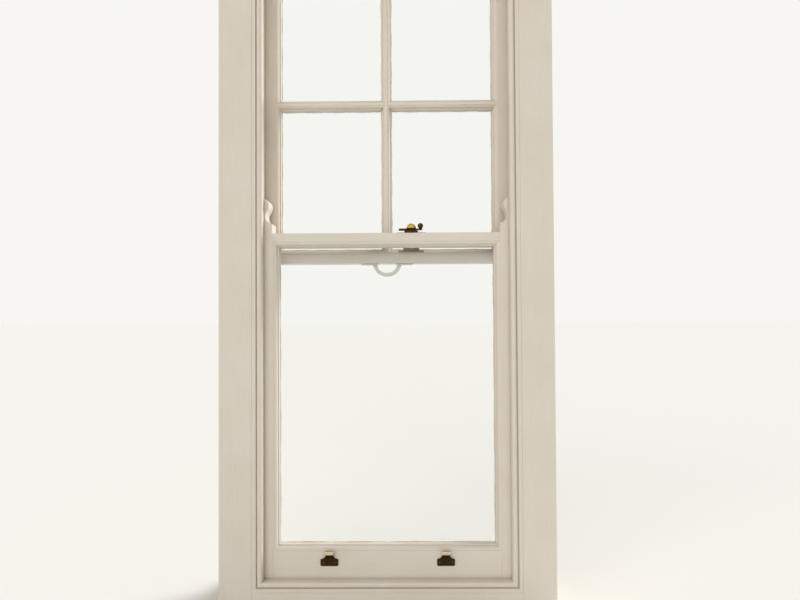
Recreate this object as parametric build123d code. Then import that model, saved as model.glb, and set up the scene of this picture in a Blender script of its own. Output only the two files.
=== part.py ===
from build123d import *
import math
import os

# Painted timber box sash window with its frame, in millimetres. X runs left to right
# as seen from the room, Y from the room to the outside, Z up. The origin is the middle
# of the sill's flat underside, below the plane between the two sashes.

# Frame
opening_width = 636.0           # between the faces of the pulley stiles
pulley_stile_thickness = 24.0
weight_box_width = 54.0         # clear width behind a pulley stile
back_lining_thickness = 9.0
lining_thickness = 20.0
head_thickness = 44.0
housing_depth = 10.0            # stile ends let into the head and the sill
sill_height = 65.0              # underside to the flat that the lower sash stands on
sill_projection = 80.0          # nose beyond the outer ends of the stiles
sill_step = 6.0
sill_slope = 8.0                # degrees
nose_radius = 7.0
throat_radius = 4.0
throat_setback = 12.0
outer_stop = 14.0               # outer lining beyond the pulley stile's face
parting_bead_thickness = 8.0
parting_bead_projection = 8.5
parting_groove_depth = 8.0
staff_bead_width = 24.5
staff_bead_depth = 22.0
staff_overhang = 18.0           # side and top beads beyond the pulley stile's face
bottom_bead_rise = 10.7         # bottom bead above the sill's flat
bead_round_width = 13.0
bead_quirk_width = 2.6
bead_fillet_drop = 2.0          # fillet level with the lining's face

# Sashes
sash_thickness = 44.0
side_clearance = 1.5
face_clearance = 1.0            # sash face to parting bead
staff_clearance = 1.5           # sash face to staff bead or outer lining
top_clearance = 1.0
stile_flat_lower = 39.0
stile_flat_upper = 33.0
bottom_rail_flat = 77.0
top_rail_flat = 31.0
meeting_flat_lower = 21.0
meeting_flat_upper = 24.0
lower_sight_height = 729.0
pane_height = 360.0
upper_drop = 46.0               # upper sash below its closed place
ovolo_width = 9.0
bar_ovolo_width = 5.9
ledge_width = 3.0
ledge_depth = 12.0
quirk_depth = 1.6
glazing_depth = 24.0            # room face to glass
bar_nose_width = 6.6
bar_tongue_width = 7.4
glass_thickness = 4.0
glass_edge_gap = 1.5
putty_sight_gap = 1.0
tenon_thickness = 14.0
tenon_length = 22.0
tenon_shoulder = 3.0
bar_tenon_thickness = 6.0
bar_tenon_length = 10.0
lip_clearance = 1.0             # between the bevelled meeting rails
lip_bevel = 3.0
lip_end_gap = 2.0

# Horns on the stiles, sizes from the stile's outer edge and from the rail
horn_height = 88.0
horn_base_width = 36.5
horn_base_height = 23.0
horn_neck_width = 20.0
horn_neck_height = 43.0
horn_bulge_width = 28.5
horn_bulge_height = 70.0
horn_crown_width = 8.0

# Cords, pulleys and weights
cord_diameter = 6.0
cord_setback = 5.0              # cord's centre line in front of the pulley stile
cord_clearance = 0.3
knot_radius = 5.0
knot_hole_radius = 7.0
knot_sink = 2.5
knot_seat = 1.0                 # how far a knot beds into the bottom of its hole
groove_width = 14.0
groove_depth = 9.0
groove_length = 270.0
pulley_drop = 100.0             # axle below the head
pulley_pitch_radius = 25.0
rim_height = 1.5
wheel_width = 12.0
wheel_recess_depth = 3.0
hub_radius = 7.0
axle_radius = 3.0
axle_clearance = 0.06
wheel_side_gap = 0.7
cheek_thickness = 2.5
cheek_reach = 9.0               # cheek beyond the axle's centre
face_plate_width = 25.0
face_plate_length = 120.0
face_plate_thickness = 3.0
slot_clearance = 1.0
mortise_gap = 0.4
weight_radius = 20.0
lower_weight_length = 467.0
upper_weight_length = 500.0
weight_neck_height = 46.0
weight_neck_radius = 13.0
weight_base_chamfer = 3.0
lower_weight_hang = 60.0        # axle to the weight's top, lower sash closed
upper_weight_hang = 960.0       # the same for the upper sash as it stands here
weight_hole_gap = 0.5
pocket_bottom = 120.0
pocket_height = 400.0
pocket_bevel = 14.0
wagtail_thickness = 5.0
wagtail_width = 46.0
wagtail_bottom = 140.0
wagtail_sink = 30.0

# Ironmongery
screw_head_radius = 3.6
screw_head_height = 2.2
screw_shank_radius = 1.7
screw_length = 18.0
screw_slot = 0.9
screw_gap = 0.05
lift_spacing = 283.0
lift_height = 106.5             # lowest edge of a lift above the sill's underside
lift_plate_width = 43.0
lift_plate_height = 17.0
lift_plate_thickness = 3.2
lift_hook_rise = 40.0
lift_hook_reach = 25.0
lift_hook_width = 26.0
lift_neck_width = 19.0
lift_screw_spacing = 31.0
fastener_offset = 62.0          # pivot to the right of the middle
fastener_setback = 29.0         # pivot from the lower sash's room face
fastener_plate_length = 74.0
fastener_plate_width = 24.0
fastener_plate_thickness = 3.0
fastener_screw_spacing = 60.0
post_radius = 4.0
post_height = 11.0
post_clearance = 0.06
lever_lift = 0.3
lever_hub_radius = 9.0
lever_collar_top = 10.0
lever_dome_bottom = 12.0
lever_dome_radius = 12.0
blade_reach = 31.5
blade_width = 10.0
blade_bottom = 6.0
blade_thickness = 5.0
knob_reach = 23.0
knob_radius = 7.0
knob_rise = 18.0
keeper_length = 62.0
keeper_catch_length = 40.0
keeper_thickness = 3.0
keeper_rise = 16.5
keeper_depth = 14.5
keeper_front = 3.0
keeper_wall = 4.0
keeper_cover = 8.5
keeper_screw_spacing = 51.0
keeper_notch_gap = 1.0
keeper_pad = 4.0                 # wood left under the keeper above the rail's flat
handle_foot_length = 31.0
handle_foot_width = 18.0
handle_foot_thickness = 3.5
handle_bow_width = 70.5
handle_bow_depth = 33.0
handle_bar_radius = 4.8
handle_setback = 16.0           # bow's centre line from the upper sash's room face
handle_screw_pitch = 15.0

# Planes across the depth of the window
bead_half = parting_bead_thickness / 2
lower_room = -(bead_half + face_clearance + sash_thickness)
lower_out = lower_room + sash_thickness
upper_room = bead_half + face_clearance
upper_out = upper_room + sash_thickness
frame_room = lower_room - staff_clearance
frame_out = upper_out + staff_clearance
lining_room = frame_room - lining_thickness
lining_out = frame_out + lining_thickness
staff_room = frame_room - staff_bead_depth
sill_nose = frame_out + sill_projection
lower_middle = (lower_room + lower_out) / 2
upper_middle = (upper_room + upper_out) / 2

# Planes across the width, right-hand side
opening_half = opening_width / 2
stile_back = opening_half + pulley_stile_thickness
box_outer = stile_back + weight_box_width
frame_half = box_outer + back_lining_thickness
sash_half = opening_half - side_clearance
staff_inner = opening_half - staff_overhang
lining_inner = staff_inner + staff_bead_width
stop_inner = opening_half - outer_stop
cord_x = opening_half - cord_setback
axle_x = cord_x + pulley_pitch_radius
weight_x = axle_x + pulley_pitch_radius

# Heights
moulding_width = ovolo_width + ledge_width
bar_half = bar_nose_width / 2 + bar_ovolo_width + ledge_width
lower_bottom = sill_height
lower_rail_top = (lower_bottom + bottom_rail_flat + 2 * moulding_width
                  + lower_sight_height + meeting_flat_lower)
upper_height = (meeting_flat_upper + 2 * moulding_width + 2 * pane_height
                + 2 * bar_half + top_rail_flat)
upper_closed_bottom = lower_rail_top - meeting_flat_upper - 0.5 * top_clearance
upper_bottom = upper_closed_bottom - upper_drop
head_soffit = upper_closed_bottom + upper_height + top_clearance
frame_top = head_soffit + head_thickness
bead_low_inner = sill_height + bottom_bead_rise
bead_low_outer = bead_low_inner - staff_bead_width
bead_high_inner = head_soffit - staff_overhang
bead_high_outer = bead_high_inner + staff_bead_width
stile_foot = sill_height - sill_step - housing_depth - sill_projection * 0.1
axle_z = head_soffit - pulley_drop
lower_horn_top = lower_rail_top + horn_height
upper_top = upper_bottom + upper_height
lower_knot_z = lower_horn_top - groove_length + knot_hole_radius
upper_knot_z = upper_top - groove_length + knot_hole_radius

parts = {}


def block(x0, x1, y0, y1, z0, z1):
    """A squared timber between two corners."""
    box = Box(x1 - x0, y1 - y0, z1 - z0)
    return Pos((x0 + x1) / 2, (y0 + y1) / 2, (z0 + z1) / 2) * box


def flipped(shape):
    """The left-hand twin of a right-hand piece."""
    return mirror(shape, about=Plane.YZ)


def pair(name, shape):
    """Store a right-hand piece and its left-hand twin as two nodes."""
    parts[name + "_right"] = shape
    parts[name + "_left"] = flipped(shape)


def run(section, origin, across, along, length):
    """A section extruded along a direction; its second axis stays on +Y."""
    return extrude(Plane(origin=origin, x_dir=across, z_dir=along) * section, amount=length)


def run_up(section, x, y, z0, z1):
    return run(section, (x, y, z0), (1, 0, 0), (0, 0, 1), z1 - z0)


def run_on_bottom(section, half, y, z):
    """Along a lower member: the section's first axis points down."""
    return run(section, (-half, y, z), (0, 0, -1), (1, 0, 0), 2 * half)


def run_on_top(section, half, y, z):
    """Along an upper member: the section's first axis points up."""
    return run(section, (half, y, z), (0, 0, 1), (-1, 0, 0), 2 * half)


def flat_shape(points, y0, y1):
    """An outline in X and Z given a thickness from y0 to y1."""
    outline = make_face(Polyline(*points, close=True))
    upright = Plane(origin=(0, y0, 0), x_dir=(1, 0, 0), z_dir=(0, -1, 0))
    return extrude(upright * outline, amount=y0 - y1)


def side_shape(face, x0, x1):
    """A face drawn in Y and Z given a length from x0 to x1."""
    return extrude(Plane(origin=(x0, 0, 0), x_dir=(0, 1, 0), z_dir=(1, 0, 0)) * face, amount=x1 - x0)


# Sill: flat under the lower sash, stepped, then sloped to a rounded nose with a throat
def sill_body():
    step_y = lower_out + 0.5 * face_clearance
    low = sill_height - sill_step
    nose_top = low - (sill_nose - step_y) * math.tan(math.radians(sill_slope))
    outline = Polyline((frame_room, 0), (sill_nose, 0), (sill_nose, nose_top), (step_y, low),
                       (step_y, sill_height), (frame_room, sill_height), close=True)
    body = side_shape(make_face(outline), -frame_half, frame_half)
    arris = body.edges().filter_by(Axis.X).sort_by(Axis.Y)[-2:].sort_by(Axis.Z)[-1]
    body = fillet(arris, nose_radius)
    throat = Rot(0, 90, 0) * Cylinder(throat_radius, 2 * frame_half)
    return body - Pos(0, sill_nose - throat_setback, 0) * throat


uncut_sill = sill_body()

# Pulley stile: grooved for the parting bead, mortised for two pulleys, with a pocket
stile = block(opening_half, stile_back, frame_room, frame_out, stile_foot,
              head_soffit + housing_depth)
bead_groove = block(opening_half, opening_half + parting_groove_depth, -bead_half, bead_half,
                    stile_foot, head_soffit + housing_depth)
pocket = flat_shape([(opening_half, pocket_bottom), (stile_back, pocket_bottom + pocket_bevel),
                     (stile_back, pocket_bottom + pocket_height - pocket_bevel),
                     (opening_half, pocket_bottom + pocket_height)], frame_room, -bead_half)

rim_radius = pulley_pitch_radius + rim_height
groove_radius = cord_diameter / 2 + cord_clearance
case_gap = wheel_width / 2 + wheel_side_gap
case_half = case_gap + cheek_thickness
cord_arch = pulley_pitch_radius + cord_diameter / 2
mortise_half = cord_arch + 2 * slot_clearance


def pulley_seat(y):
    """What is cut from a pulley stile for one pulley."""
    through = block(opening_half - 1, stile_back + 1, y - case_half - mortise_gap / 2,
                    y + case_half + mortise_gap / 2, axle_z - mortise_half, axle_z + mortise_half)
    bed = Pos(opening_half, y, axle_z) * Rot(0, 90, 0) * extrude(
        SlotOverall(face_plate_length, face_plate_width), amount=face_plate_thickness)
    return through + bed


def pulley_case(y):
    """Face plate with a slot for the wheel, and two cheeks that carry the axle."""
    half_slot = math.sqrt(cord_arch ** 2 - (axle_x - opening_half - face_plate_thickness) ** 2)
    plate = extrude(SlotOverall(face_plate_length, face_plate_width)
                    - Rectangle(2 * (half_slot + slot_clearance), 2 * case_gap),
                    amount=face_plate_thickness)
    case = Pos(opening_half, y, axle_z) * Rot(0, 90, 0) * plate
    reach = axle_x + cheek_reach - opening_half
    cheek = Pos(reach / 2, 0) * Rectangle(reach, 2 * half_slot)
    cheek = fillet(cheek.vertices().sort_by(Axis.X)[-2:], cheek_reach)
    for side in (-1, 1):
        inner = y + side * case_gap
        outer = y + side * case_half
        low = min(inner, outer)
        upright = Plane(origin=(opening_half, low, axle_z), x_dir=(1, 0, 0), z_dir=(0, -1, 0))
        case += extrude(upright * cheek, amount=-cheek_thickness)
    case -= Pos(axle_x, y, axle_z) * Rot(90, 0, 0) * Cylinder(axle_radius, 2 * case_half)
    for place in screw_places(y):
        case -= place * screw_hole()
    return case


def screw_places(y):
    """Both face plate screws, heads flush with the stile's face."""
    reach = (face_plate_length - face_plate_width) / 2 + 1.5
    turn = Rot(0, -90, 0)
    return [Pos(opening_half, y, axle_z + side * reach) * turn for side in (-1, 1)]


def wood_screw():
    """Countersunk wood screw with its head's top at the origin, pointing down -Z."""
    head = Cone(screw_shank_radius, screw_head_radius, screw_head_height)
    body = Pos(0, 0, -screw_head_height / 2) * head
    straight = screw_length - screw_head_height - 2 * screw_shank_radius
    body += Pos(0, 0, -screw_head_height - straight / 2) * Cylinder(screw_shank_radius, straight)
    point = Cone(0.2, screw_shank_radius, 2 * screw_shank_radius)
    body += Pos(0, 0, -screw_length + screw_shank_radius) * point
    slot = Box(2 * screw_head_radius, screw_slot, screw_slot)
    return body - Pos(0, 0, -screw_slot / 2) * slot


def screw_hole():
    """Countersink and pilot hole for one screw."""
    grow = screw_gap
    sink = Cone(screw_shank_radius + grow, screw_head_radius + grow, screw_head_height)
    pilot = Cylinder(screw_shank_radius + grow, screw_length + grow)
    return (Pos(0, 0, -screw_head_height / 2) * sink
            + Pos(0, 0, -(screw_length + grow) / 2) * pilot)


def pulley_wheel(y):
    """Grooved wheel, recessed on both faces round its hub."""
    half = wheel_width / 2
    rim_inner = pulley_pitch_radius - groove_radius - 2.0
    section = (Pos(rim_radius / 2, 0) * Rectangle(rim_radius, wheel_width)
               - Pos(pulley_pitch_radius, 0) * Circle(groove_radius)
               - Pos(rim_radius, 0) * Rectangle(2 * rim_height, 2 * groove_radius))
    for side in (-1, 1):
        recess = Rectangle(rim_inner - hub_radius, wheel_recess_depth)
        section -= Pos((rim_inner + hub_radius) / 2, side * (half - wheel_recess_depth / 2)) * recess
    section -= Pos((axle_radius + axle_clearance) / 2, 0) * Rectangle(axle_radius + axle_clearance,
                                                                     2 * wheel_width)
    return Pos(axle_x, y, axle_z) * revolve(section, Axis.Y)


# Parting beads, staff beads, linings and the rest of the frame
def staff_section():
    """Half-round bead on the inner side, a quirk, then a flat fillet."""
    radius = bead_round_width / 2
    quirk_end = bead_round_width + bead_quirk_width
    nose = ThreePointArc((0, radius), (radius, 0), (bead_round_width, radius))
    rest = Polyline((bead_round_width, radius), (bead_round_width + bead_quirk_width / 2, radius),
                    (quirk_end, bead_fillet_drop), (staff_bead_width, bead_fillet_drop),
                    (staff_bead_width, staff_bead_depth), (0, staff_bead_depth), (0, radius))
    return make_face([nose, rest])


def make_frame():
    sill = uncut_sill
    for side in (-1, 1):
        sill -= block(min(side * opening_half, side * stile_back),
                      max(side * opening_half, side * stile_back),
                      frame_room, frame_out, stile_foot, sill_height + 1)
    parts["sill"] = sill
    parts["sill_lining"] = block(-lining_inner, lining_inner, lining_room, frame_room, 0,
                                 bead_low_outer)

    solid = stile - bead_groove - pocket
    screws = []
    for y in (lower_middle, upper_middle):
        solid -= pulley_seat(y)
        for place in screw_places(y):
            solid -= place * screw_hole()
            screws.append(place * wood_screw())
    pair("pulley_stile", solid)
    parts["pocket_pieces"] = Compound([pocket, flipped(pocket)])

    wagtail_x = (stile_back + box_outer) / 2
    wagtail = block(wagtail_x - wagtail_width / 2, wagtail_x + wagtail_width / 2,
                    -wagtail_thickness / 2, wagtail_thickness / 2, wagtail_bottom,
                    head_soffit + wagtail_sink)
    parts["wagtails"] = Compound([wagtail, flipped(wagtail)])

    head = block(-frame_half, frame_half, frame_room, frame_out, head_soffit, frame_top)
    top_bead = block(-opening_half, opening_half, -bead_half, bead_half,
                     head_soffit - parting_bead_projection, head_soffit + parting_groove_depth)
    head -= top_bead
    head -= stile + flipped(stile)
    head -= wagtail
    head -= flipped(wagtail)
    parts["head"] = head
    bead_inner = opening_half - parting_bead_projection
    side_bead = block(bead_inner, opening_half + parting_groove_depth, -bead_half, bead_half,
                      stile_foot, head_soffit) - sill
    pair("parting_bead", side_bead.solids().sort_by(Axis.Z)[-1])
    parts["parting_bead_top"] = block(-bead_inner, bead_inner, -bead_half, bead_half,
                                      head_soffit - parting_bead_projection,
                                      head_soffit + parting_groove_depth)

    pair("inner_lining", block(lining_inner, frame_half, lining_room, frame_room, 0, frame_top))
    parts["inner_lining_top"] = block(-lining_inner, lining_inner, lining_room, frame_room,
                                      bead_high_outer, frame_top)
    outer = block(stop_inner, frame_half, frame_out, lining_out, 0, frame_top) - uncut_sill
    pair("outer_lining", outer.solids().sort_by(Axis.Z)[-1])
    parts["outer_lining_top"] = block(-stop_inner, stop_inner, frame_out, lining_out,
                                      head_soffit - outer_stop, frame_top)
    back = block(box_outer, frame_half, frame_room, frame_out, 0, head_soffit) - uncut_sill
    back = back.solids().sort_by(Axis.Z)[-1]
    parts["back_linings"] = Compound([back, flipped(back)])

    section = staff_section()
    side = run_up(section, staff_inner, staff_room, bead_low_outer, bead_high_outer)
    side &= flat_shape([(staff_inner, bead_low_inner), (lining_inner, bead_low_outer),
                        (lining_inner, bead_high_outer), (staff_inner, bead_high_inner)],
                       staff_room - 1, frame_room + 1)
    pair("staff_bead", side)
    low = run_on_bottom(section, lining_inner, staff_room, bead_low_inner)
    low &= flat_shape([(-staff_inner, bead_low_inner), (staff_inner, bead_low_inner),
                       (lining_inner, bead_low_outer), (-lining_inner, bead_low_outer)],
                      staff_room - 1, frame_room + 1)
    parts["staff_bead_bottom"] = low
    high = run_on_top(section, lining_inner, staff_room, bead_high_inner)
    high &= flat_shape([(-staff_inner, bead_high_inner), (staff_inner, bead_high_inner),
                        (lining_inner, bead_high_outer), (-lining_inner, bead_high_outer)],
                       staff_room - 1, frame_room + 1)
    parts["staff_bead_top"] = high

    cases = [pulley_case(y) for y in (lower_middle, upper_middle)]
    axle = Rot(90, 0, 0) * Cylinder(axle_radius, 2 * case_half)
    axles = [Pos(axle_x, y, axle_z) * axle for y in (lower_middle, upper_middle)]
    parts["pulley_cases"] = Compound(cases + [flipped(case) for case in cases])
    parts["pulley_axles"] = Compound(axles + [flipped(axle) for axle in axles])
    parts["pulley_screws"] = Compound(screws + [flipped(screw) for screw in screws])
    pair("pulley_wheel_lower", pulley_wheel(lower_middle))
    pair("pulley_wheel_upper", pulley_wheel(upper_middle))


# Sash joinery: a squared member with a moulded edge on the room side and the glazing
# rebate behind it; rails are scribed over the stiles' mouldings and tenoned into them
def moulding_section():
    """Ovolo with a quirk and a ledge: first axis from the sight line to the flat."""
    full = moulding_width
    ovolo = EllipticalCenterArc((full, ledge_depth), ovolo_width, ledge_depth - quirk_depth,
                                start_angle=180, arc_size=90)
    rest = Polyline((full, quirk_depth), (full, glazing_depth), (0, glazing_depth),
                    (0, ledge_depth), (ledge_width, ledge_depth))
    return make_face([ovolo, rest])


def bar_section():
    """Glazing bar: nose, an ovolo and a ledge on each side, and a tongue between panes."""
    nose = bar_nose_width / 2
    section = Pos(0, glazing_depth / 2) * Rectangle(bar_nose_width, glazing_depth)
    section += Pos(0, (glazing_depth + sash_thickness) / 2) * Rectangle(
        bar_tongue_width, sash_thickness - glazing_depth)
    for side in (-1, 1):
        ovolo = EllipticalCenterArc((side * nose, ledge_depth), bar_ovolo_width,
                                    ledge_depth - quirk_depth,
                                    start_angle=180 if side < 0 else 270, arc_size=90)
        ledge = bar_half - ledge_width
        rest = Polyline((side * nose, quirk_depth), (side * nose, glazing_depth),
                        (side * bar_half, glazing_depth), (side * bar_half, ledge_depth),
                        (side * ledge, ledge_depth))
        section += make_face([ovolo, rest])
    return section


def horn(z_edge, way, y0, y1):
    """Ogee horn that carries a stile past its rail, upwards (+1) or downwards (-1)."""
    def at(inward, height):
        return (sash_half - inward, z_edge + way * height)

    curve = Spline([at(horn_base_width, horn_base_height), at(horn_neck_width, horn_neck_height),
                    at(horn_bulge_width, horn_bulge_height), at(horn_crown_width, horn_height)],
                   tangents=[(1, 0.35 * way), (0, way), (0, way), (1, 0.05 * way)])
    sides = Polyline(at(horn_crown_width, horn_height), at(0, horn_height), at(0, 0),
                     at(horn_base_width, 0), at(horn_base_width, horn_base_height))
    face = make_face([curve, sides])
    upright = Plane(origin=(0, y0, 0), x_dir=(1, 0, 0), z_dir=(0, -1, 0))
    return extrude(upright * face, amount=y0 - y1)


def tenon(x0, x1, y_room, z0, z1, thickness=tenon_thickness):
    middle = y_room + sash_thickness / 2
    return block(x0, x1, middle - thickness / 2, middle + thickness / 2, z0, z1)


def putty_ring(x0, x1, y_room, z0, z1, left, right, low, high):
    """Bevelled putty round a pane. The four bearings say how far it laps each member."""
    y0 = y_room + glazing_depth + glass_thickness
    y1 = y_room + sash_thickness
    inside = Plane(origin=(0, y0, 0), x_dir=(1, 0, 0), z_dir=(0, -1, 0))
    outside = Plane(origin=(0, y1, 0), x_dir=(1, 0, 0), z_dir=(0, -1, 0))

    def window(plane, inset):
        a0 = x0 + left * inset
        a1 = x1 - right * inset
        b0 = z0 + low * inset
        b1 = z1 - high * inset
        return plane * Pos((a0 + a1) / 2, (b0 + b1) / 2) * Rectangle(a1 - a0, b1 - b0)

    return block(x0, x1, y0, y1, z0, z1) - loft([window(inside, 1.0), window(outside, 0.1)])


def cord_groove(y, z_top):
    """Groove in a stile's outer edge for the cord, with a bored hole its knot beds in."""
    low = z_top - groove_length + knot_hole_radius
    groove = block(sash_half - groove_depth, sash_half + 1, y - groove_width / 2,
                   y + groove_width / 2, low, z_top + 1)
    knot_x = cord_x - knot_sink
    floor = knot_x - knot_radius + knot_seat
    bore = Rot(0, 90, 0) * Cylinder(knot_hole_radius, sash_half + 1 - floor)
    return (groove + Pos((sash_half + 1 + floor) / 2, y, low) * bore
            + Pos(knot_x, y, low) * Sphere(knot_radius))


section = moulding_section()


def make_lower_sash():
    y0, y1, middle = lower_room, lower_out, lower_middle
    flat_x = sash_half - stile_flat_lower
    sight_x = flat_x - moulding_width
    low_flat = lower_bottom + bottom_rail_flat
    sight_low = low_flat + moulding_width
    high_flat = lower_rail_top - meeting_flat_lower
    sight_high = high_flat - moulding_width

    edge = run_up(section, sight_x, y0, low_flat, high_flat)
    edges = edge + flipped(edge)
    upright = block(flat_x, sash_half, y0, y1, lower_bottom, lower_rail_top)
    upright += horn(lower_rail_top, 1, y0, y1)
    upright += edge
    upright -= cord_groove(middle, lower_horn_top)
    low_tenon = (flat_x, flat_x + tenon_length, y0, lower_bottom + tenon_shoulder,
                 low_flat - tenon_shoulder)
    high_tenon = (flat_x, flat_x + tenon_length, y0, high_flat + tenon_shoulder,
                  lower_rail_top - tenon_shoulder)
    low_end = tenon(*low_tenon)
    high_end = tenon(*high_tenon)
    upright -= low_end
    upright -= high_end

    bottom = block(-flat_x, flat_x, y0, y1, lower_bottom, low_flat)
    bottom += run_on_bottom(section, flat_x, y0, sight_low) - edges
    bottom += low_end
    bottom += flipped(low_end)

    # The meeting rail is deeper than the stiles: its bevelled lip closes the gap
    # between the sashes and runs across to the parting beads. The pane's upper edge
    # goes into a groove in this rail, so that there is no putty along it.
    pane_y = y0 + glazing_depth
    top = block(-flat_x, flat_x, y0, y1, high_flat, lower_rail_top)
    top += block(-flat_x, flat_x, pane_y + glass_thickness, y1, sight_high, high_flat)
    top += run_on_top(section, flat_x, y0, sight_high) - edges
    top += high_end
    top += flipped(high_end)
    lip_half = opening_half - parting_bead_projection - lip_end_gap
    lip_top = (lip_bevel - lip_clearance) / 2
    lip = make_face(Polyline((y1, sight_high), (lip_top - lip_bevel, sight_high),
                             (lip_top, lower_rail_top), (y1, lower_rail_top), close=True))
    top += side_shape(lip, -lip_half, lip_half)

    screws = []
    lifts = []
    for side in (-1, 1):
        lift, places = hook_lift(side * lift_spacing / 2)
        lifts.append(lift)
        for place in places:
            bottom -= place * screw_hole()
            screws.append(place * wood_screw())
    base, places = fastener_base()
    for place in places:
        top -= place * screw_hole()
        screws.append(place * wood_screw())

    pair("lower_stile", upright)
    parts["lower_bottom_rail"] = bottom
    parts["lower_meeting_rail"] = top
    reach = glass_edge_gap
    parts["lower_pane"] = block(-flat_x + reach, flat_x - reach, pane_y, pane_y + glass_thickness,
                                low_flat + reach, high_flat - reach)
    lap = moulding_width - putty_sight_gap
    parts["lower_putty"] = putty_ring(-flat_x, flat_x, y0, low_flat, sight_high, lap, lap, lap, -1)
    parts["sash_lifts"] = Compound(lifts)
    parts["fastener_base"] = base
    parts["fastener_lever"] = fastener_lever()
    parts["lower_sash_screws"] = Compound(screws)


def make_upper_sash():
    y0, y1, middle = upper_room, upper_out, upper_middle
    flat_x = sash_half - stile_flat_upper
    sight_x = flat_x - moulding_width
    low_flat = upper_bottom + meeting_flat_upper
    sight_low = low_flat + moulding_width
    high_flat = upper_top - top_rail_flat
    sight_high = high_flat - moulding_width
    bar_z = sight_low + pane_height + bar_half

    edge = run_up(section, sight_x, y0, low_flat, high_flat)
    edges = edge + flipped(edge)
    upright = block(flat_x, sash_half, y0, y1, upper_bottom, upper_top)
    upright += horn(upper_bottom, -1, y0, y1)
    upright += edge
    upright -= cord_groove(middle, upper_top)
    low_end = tenon(flat_x, flat_x + tenon_length, y0, upper_bottom + tenon_shoulder,
                    low_flat - tenon_shoulder)
    high_end = tenon(flat_x, flat_x + tenon_length, y0, high_flat + tenon_shoulder,
                     upper_top - tenon_shoulder)
    bar_end = tenon(flat_x, flat_x + bar_tenon_length, y0, bar_z - bar_nose_width / 2,
                    bar_z + bar_nose_width / 2, bar_tenon_thickness)
    upright -= low_end
    upright -= high_end
    upright -= bar_end

    bottom_edge = run_on_bottom(section, flat_x, y0, sight_low)
    top_edge = run_on_top(section, flat_x, y0, sight_high)
    foot = tenon(-bar_nose_width / 2, bar_nose_width / 2, y0, low_flat - bar_tenon_length,
                 low_flat, bar_tenon_thickness)
    crown = tenon(-bar_nose_width / 2, bar_nose_width / 2, y0, high_flat,
                  high_flat + bar_tenon_length, bar_tenon_thickness)

    bottom = block(-flat_x, flat_x, y0, y1, upper_bottom, low_flat) + (bottom_edge - edges)
    bottom += low_end
    bottom += flipped(low_end)
    lip_half = opening_half - parting_bead_projection - lip_end_gap
    lip_top = (lip_bevel + lip_clearance) / 2
    lip = make_face(Polyline((y0, upper_bottom), (lip_top - lip_bevel, upper_bottom),
                             (lip_top, low_flat), (y0, low_flat), close=True))
    bottom += side_shape(lip, -lip_half, lip_half)
    bottom -= foot

    seat = low_flat + keeper_pad
    keeper, keeper_places = fastener_keeper(seat)
    notch_low = fastener_offset - keeper_length / 2 - keeper_notch_gap
    notch_high = fastener_offset + keeper_length / 2 + keeper_notch_gap
    bottom += block(notch_low, notch_high, y0, y0 + glazing_depth, low_flat, seat)
    bottom -= block(notch_low, notch_high, y0 - 1, keeper_front + keeper_depth + keeper_notch_gap,
                    seat, sight_low + 1)

    top = block(-flat_x, flat_x, y0, y1, high_flat, upper_top) + (top_edge - edges)
    top += high_end
    top += flipped(high_end)
    top -= crown

    bar = bar_section()
    upright_bar = run(bar, (0, y0, low_flat), (1, 0, 0), (0, 0, 1), high_flat - low_flat)
    upright_bar -= bottom_edge
    upright_bar -= top_edge
    cross = run(bar, (-flat_x, y0, bar_z), (0, 0, -1), (1, 0, 0), 2 * flat_x)
    cross -= edge
    cross -= flipped(edge)
    cross -= upright_bar
    cross += bar_end
    cross += flipped(bar_end)
    upright_bar += foot
    upright_bar += crown

    handle, handle_places = bow_handle()
    screws = []
    for place in handle_places + keeper_places:
        bottom -= place * screw_hole()
        screws.append(place * wood_screw())

    pair("upper_stile", upright)
    parts["upper_meeting_rail"] = bottom
    parts["upper_top_rail"] = top
    parts["upper_bar_upright"] = upright_bar
    parts["upper_bar_cross"] = cross
    panes = []
    rings = []
    tongue = bar_tongue_width / 2
    pane_y = y0 + glazing_depth
    reach = glass_edge_gap
    outer_lap = moulding_width - putty_sight_gap
    bar_lap = bar_half - tongue - putty_sight_gap
    for z0, z1, low, high in ((low_flat, bar_z - tongue, outer_lap, bar_lap),
                              (bar_z + tongue, high_flat, bar_lap, outer_lap)):
        pane = block(tongue + reach, flat_x - reach, pane_y, pane_y + glass_thickness,
                     z0 + reach, z1 - reach)
        ring = putty_ring(tongue, flat_x, y0, z0, z1, bar_lap, outer_lap, low, high)
        panes += [pane, flipped(pane)]
        rings += [ring, flipped(ring)]
    parts["upper_panes"] = Compound(panes)
    parts["upper_putty"] = Compound(rings)
    parts["bow_handle"] = handle
    parts["fastener_keeper"] = keeper
    parts["upper_sash_screws"] = Compound(screws)


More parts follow.
